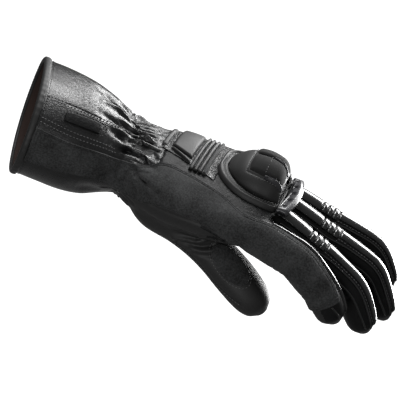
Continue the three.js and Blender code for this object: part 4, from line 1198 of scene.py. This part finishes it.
class GLOVE_OT_fingers(Piece):
    """Adds the pads, ribs and strips on the fingers, and the patch on the thumb"""
    bl_idname = "glove.fingers"
    bl_label = "Finger Trim"

    def execute(self, context):
        pieces = (("pad", 0.1, 0.297, 34, 1.6, 40, 36), ("rib_1", 0.301, 0.337, 35, 1.15, 16, 36),
                  ("rib_2", 0.34, 0.376, 35, 1.15, 16, 36), ("rib_3", 0.379, 0.415, 35, 1.15, 16, 36),
                  ("strip", 0.42, 0.965, 24, 1.4, 120, 30))
        for name, skin in FINGER_SKINS.items():
            for piece, start, end, half, height, along, across in pieces:
                nodes = [f"{name}_{piece}"]
                if name == "index":
                    if piece != "strip":
                        continue
                    start, nodes = 0.13, ["index_pad", "index_strip"]

                def span(u, half=half, piece=piece, name=name):
                    h = half * mix(1.0, 0.8, u) if piece == "strip" else half + 0 * u
                    return (-h - 6, np.minimum(h, -4)) if name == "index" else (-h, h)

                obj = strip_on(f"{name}_{piece}_leather", skin, start * skin.length, end * skin.length, span, height,
                               along, across, 1.3, 0.45 if piece == "strip" else 0.3, 0.1, detail=False, base=0.2)
                dressed(obj, "polished_leather", "smooth_leather" if piece == "strip" else "grain_leather", *nodes)

        def oval(u, v):
            x, y = 2 * u - 1, 2 * v - 1
            x, y = x * np.sqrt(1 - y * y / 2), y * np.sqrt(1 - x * x / 2)
            reach = np.sqrt(x * x + y * y)
            down = np.sqrt(np.maximum(1 - np.clip((reach - 0.93) / 0.07, 0, 1) ** 2, 0))
            return THUMB_SKIN.point(OVAL_AT[0] + OVAL_HALF[0] * x, OVAL_AT[1] + OVAL_HALF[1] * y,
                                    0.3 + 1.5 * down - 0.6 * (1 - down), False)

        obj = face_out(grid("thumb_oval", oval, 50, 50), THUMB_SKIN.frame_at(np.array(90.0))[0])
        thicken(obj)
        dressed(obj, "matte_panel_leather", "matte_leather", "thumb_patch")
        return {"FINISHED"}


class GLOVE_OT_seams(Piece):
    """Adds the piping and the rows of thread on the cuff, the hand and the fingers"""
    bl_idname = "glove.seams"
    bl_label = "Seams"

    def execute(self, context):
        cuff = [line_on(ARM_SKIN, [(s, a + 1.4) for s, a in CUFF_SEAM], 0.2),
                line_on(ARM_SKIN, [(s, a - 1.8) for s, a in CUFF_SEAM], 0.2),
                line_on(ARM_SKIN, [(elastic(a) - 1.2, a) for a in np.linspace(-64, 60, 30)], 0.1),
                line_on(ARM_SKIN, [(elastic(a) + 1.6, a) for a in np.linspace(-64, 60, 30)], 0.1),
                line_on(ARM_SKIN, [(6.4, a) for a in np.linspace(-180, 60, 60)], 0.2),
                line_on(ARM_SKIN, [(6.4, a) for a in np.linspace(100, 180, 20)], 0.2)]
        pale = [line_on(ARM_SKIN, [(6, 59.5), (30, 61), (54, 59.5), (66, 59.5)], 0.2),
                line_on(ARM_SKIN, [(6, 55.5), (30, 57), (54, 55.5), (64, 55.5)], 0.2),
                line_on(ARM_SKIN, [(s, a + 4.2) for s, a in CUFF_SEAM], 0.2)]
        box = [(21.2, 40.5), (49.3, 34.8), (49.3, 49.8), (21.2, 51.8), (21.2, 40.5)]
        cuff.append(line_on(ARM_SKIN, [(s, a) for (s, a) in box], 0.15))
        dressed(stitches("cuff_thread", cuff), "sewing_thread", "grain_leather")
        dressed(stitches("cuff_pale_thread", pale), "pale_thread", "grain_leather")
        welts = []
        for name, skin in FINGER_SKINS.items():
            long = skin.length
            for side in (-62, 62):
                if name == "index" and side > 0:
                    continue
                welts.append(line_on(skin, [(12, side * 0.8), (0.25 * long, side * 0.74), (0.36 * long, side * 0.8),
                                            (0.5 * long, side * 0.64), (0.75 * long, side * 0.6),
                                            (0.97 * long, side * 0.6)], 0.1))
                welts.append(line_on(skin, [(16, side * 1.25), (0.4 * long, side * 1.3), (0.7 * long, side * 1.15),
                                            (0.95 * long, side * 1.0)], -0.1))
        index = FINGER_SKINS["index"]
        welts.append(line_on(index, [(72.5, 60), (78, 52), (83, 44)], 0.1))
        dressed(cord_along("finger_piping", welts, 0.8), "polished_leather", "smooth_leather")
        rows = []
        for name, skin in FINGER_SKINS.items():
            long = skin.length
            for side in (-50, 50):
                if name == "index" and side > 0:
                    continue
                places = [(0.42 * long, side * 0.62), (0.6 * long, side * 0.56), (0.93 * long, side * 0.5)]
                rows.append(line_on(skin, places, 0.1))
        for grow in (0.9, 1.1):
            ring = [(OVAL_AT[0] + OVAL_HALF[0] * grow * math.cos(t), OVAL_AT[1] + OVAL_HALF[1] * grow * math.sin(t))
                    for t in np.linspace(0, 2 * math.pi, 40)]
            rows.append(line_on(THUMB_SKIN, ring, 1.4 if grow < 1 else 0.2))
        thumb_seam = [(46, 148), (57.5, 146), (80, 150), (95.5, 138), (108, 124)]
        rows.append(line_on(THUMB_SKIN, thumb_seam, 0.2))
        dressed(stitches("finger_thread", rows), "pale_thread", "palm_leather")
        return {"FINISHED"}


class GLOVE_OT_stage(Piece):
    """Adds the pale floor, the soft lights and the camera"""
    bl_idname = "glove.stage"
    bl_label = "Stage"

    def execute(self, context):
        scene = context.scene
        bpy.ops.object.select_all(action="DESELECT")
        bpy.ops.mesh.primitive_plane_add(size=14, location=(0, 0, 0))
        floor = context.object
        floor.name = "studio_floor"
        floor.location.z = -0.42
        white = bpy.data.materials.new("studio_white")
        white.use_nodes = True
        nodes, link = white.node_tree.nodes, white.node_tree.links
        shader = nodes["Principled BSDF"]
        shader.inputs["Base Color"].default_value = (0.16, 0.16, 0.16, 1)
        shader.inputs["Roughness"].default_value = 0.9
        shader.inputs["Specular IOR Level"].default_value = 0.1
        shader.inputs["Emission Color"].default_value = (1, 1, 1, 1)
        # the picture's floor is pure white, but it throws little light on the leather
        link.new(nodes.new("ShaderNodeLightPath").outputs["Is Camera Ray"], shader.inputs["Emission Strength"])
        floor.data.materials.append(white)

        world = bpy.data.worlds.new("studio")
        scene.world = world
        world.use_nodes = True
        nodes, link = world.node_tree.nodes, world.node_tree.links
        seen = nodes.new("ShaderNodeMapRange")
        seen.inputs["To Min"].default_value, seen.inputs["To Max"].default_value = 0.2, 1.0
        link.new(nodes.new("ShaderNodeLightPath").outputs["Is Camera Ray"], seen.inputs["Value"])
        link.new(seen.outputs[0], nodes["Background"].inputs["Strength"])
        nodes["Background"].inputs["Color"].default_value = (1, 1, 1, 1)
        scene.view_settings.view_transform = "Standard"

        target = Vector((130.5, -6, -6)) * MM
        a, e, roll = math.radians(-5.5), math.radians(33), math.radians(26)
        back = Vector((math.sin(a) * math.cos(e), -math.cos(a) * math.cos(e), math.sin(e)))
        level = Vector((math.cos(a), math.sin(a), 0))
        up = back.cross(level)
        right = level * math.cos(roll) + up * math.sin(roll)
        top = up * math.cos(roll) - level * math.sin(roll)

        def light(name, toward, distance, wide, tall, radiance):
            """An area light in the direction toward, turned to the glove."""
            data = bpy.data.lights.new(name, "AREA")
            data.shape, data.size, data.size_y = "RECTANGLE", wide, tall
            data.energy = radiance * math.pi * wide * tall
            obj = bpy.data.objects.new(name, data)
            scene.collection.objects.link(obj)
            obj.location = target + Vector(toward).normalized() * distance
            obj.rotation_euler = (target - obj.location).to_track_quat("-Z", "Y").to_euler()

        light("key_cuff", (0.34, 0.84, 0.42), 1.0, 0.6, 0.3, 18)
        light("key_back", (-0.18, 0.58, 0.80), 1.0, 0.36, 0.4, 17)
        light("top", (-0.4, 0.1, 0.91), 1.0, 0.24, 0.3, 9)
        light("rim_right", (0.66, 0.74, -0.05), 0.9, 0.2, 0.6, 24)
        light("front", (-0.3, -0.95, 0.1), 1.2, 0.6, 0.5, 3.4)

        data = bpy.data.cameras.new("photo_camera")
        sensor = 36
        data.lens, data.sensor_width = 1618 / 400 * sensor, sensor
        data.clip_start, data.clip_end = 0.05, 40
        camera = bpy.data.objects.new("photo_camera", data)
        scene.collection.objects.link(camera)
        camera.matrix_world = Matrix.Translation(target + back * 1.1) @ Matrix((right, top, back)).transposed().to_4x4()
        scene.camera = camera
        return {"FINISHED"}


PIECES = (GLOVE_OT_stage, GLOVE_OT_cuff, GLOVE_OT_hand, GLOVE_OT_side_panel, GLOVE_OT_back, GLOVE_OT_guard,
          GLOVE_OT_fingers, GLOVE_OT_seams)


class GLOVE_PT_sidebar(bpy.types.Panel):
    bl_label = "Riding Glove"
    bl_space_type = "VIEW_3D"
    bl_region_type = "UI"
    bl_category = "Glove"

    def draw(self, context):
        settings = context.scene.glove
        for key in ("gathers", "stitch_pitch", "leather", "soft_leather", "panel", "lining"):
            self.layout.prop(settings, key)
        for piece in PIECES:
            self.layout.operator(piece.bl_idname)


def register():
    for cls in (GloveSettings, *PIECES, GLOVE_PT_sidebar):
        bpy.utils.register_class(cls)
    bpy.types.Scene.glove = PointerProperty(type=GloveSettings)


def unregister():
    del bpy.types.Scene.glove
    for cls in (GLOVE_PT_sidebar, *reversed(PIECES), GloveSettings):
        bpy.utils.unregister_class(cls)


def main():
    register()
    for piece in PIECES:
        group, name = piece.bl_idname.split(".")
        getattr(getattr(bpy.ops, group), name)()


if __name__ == "__main__":
    main()
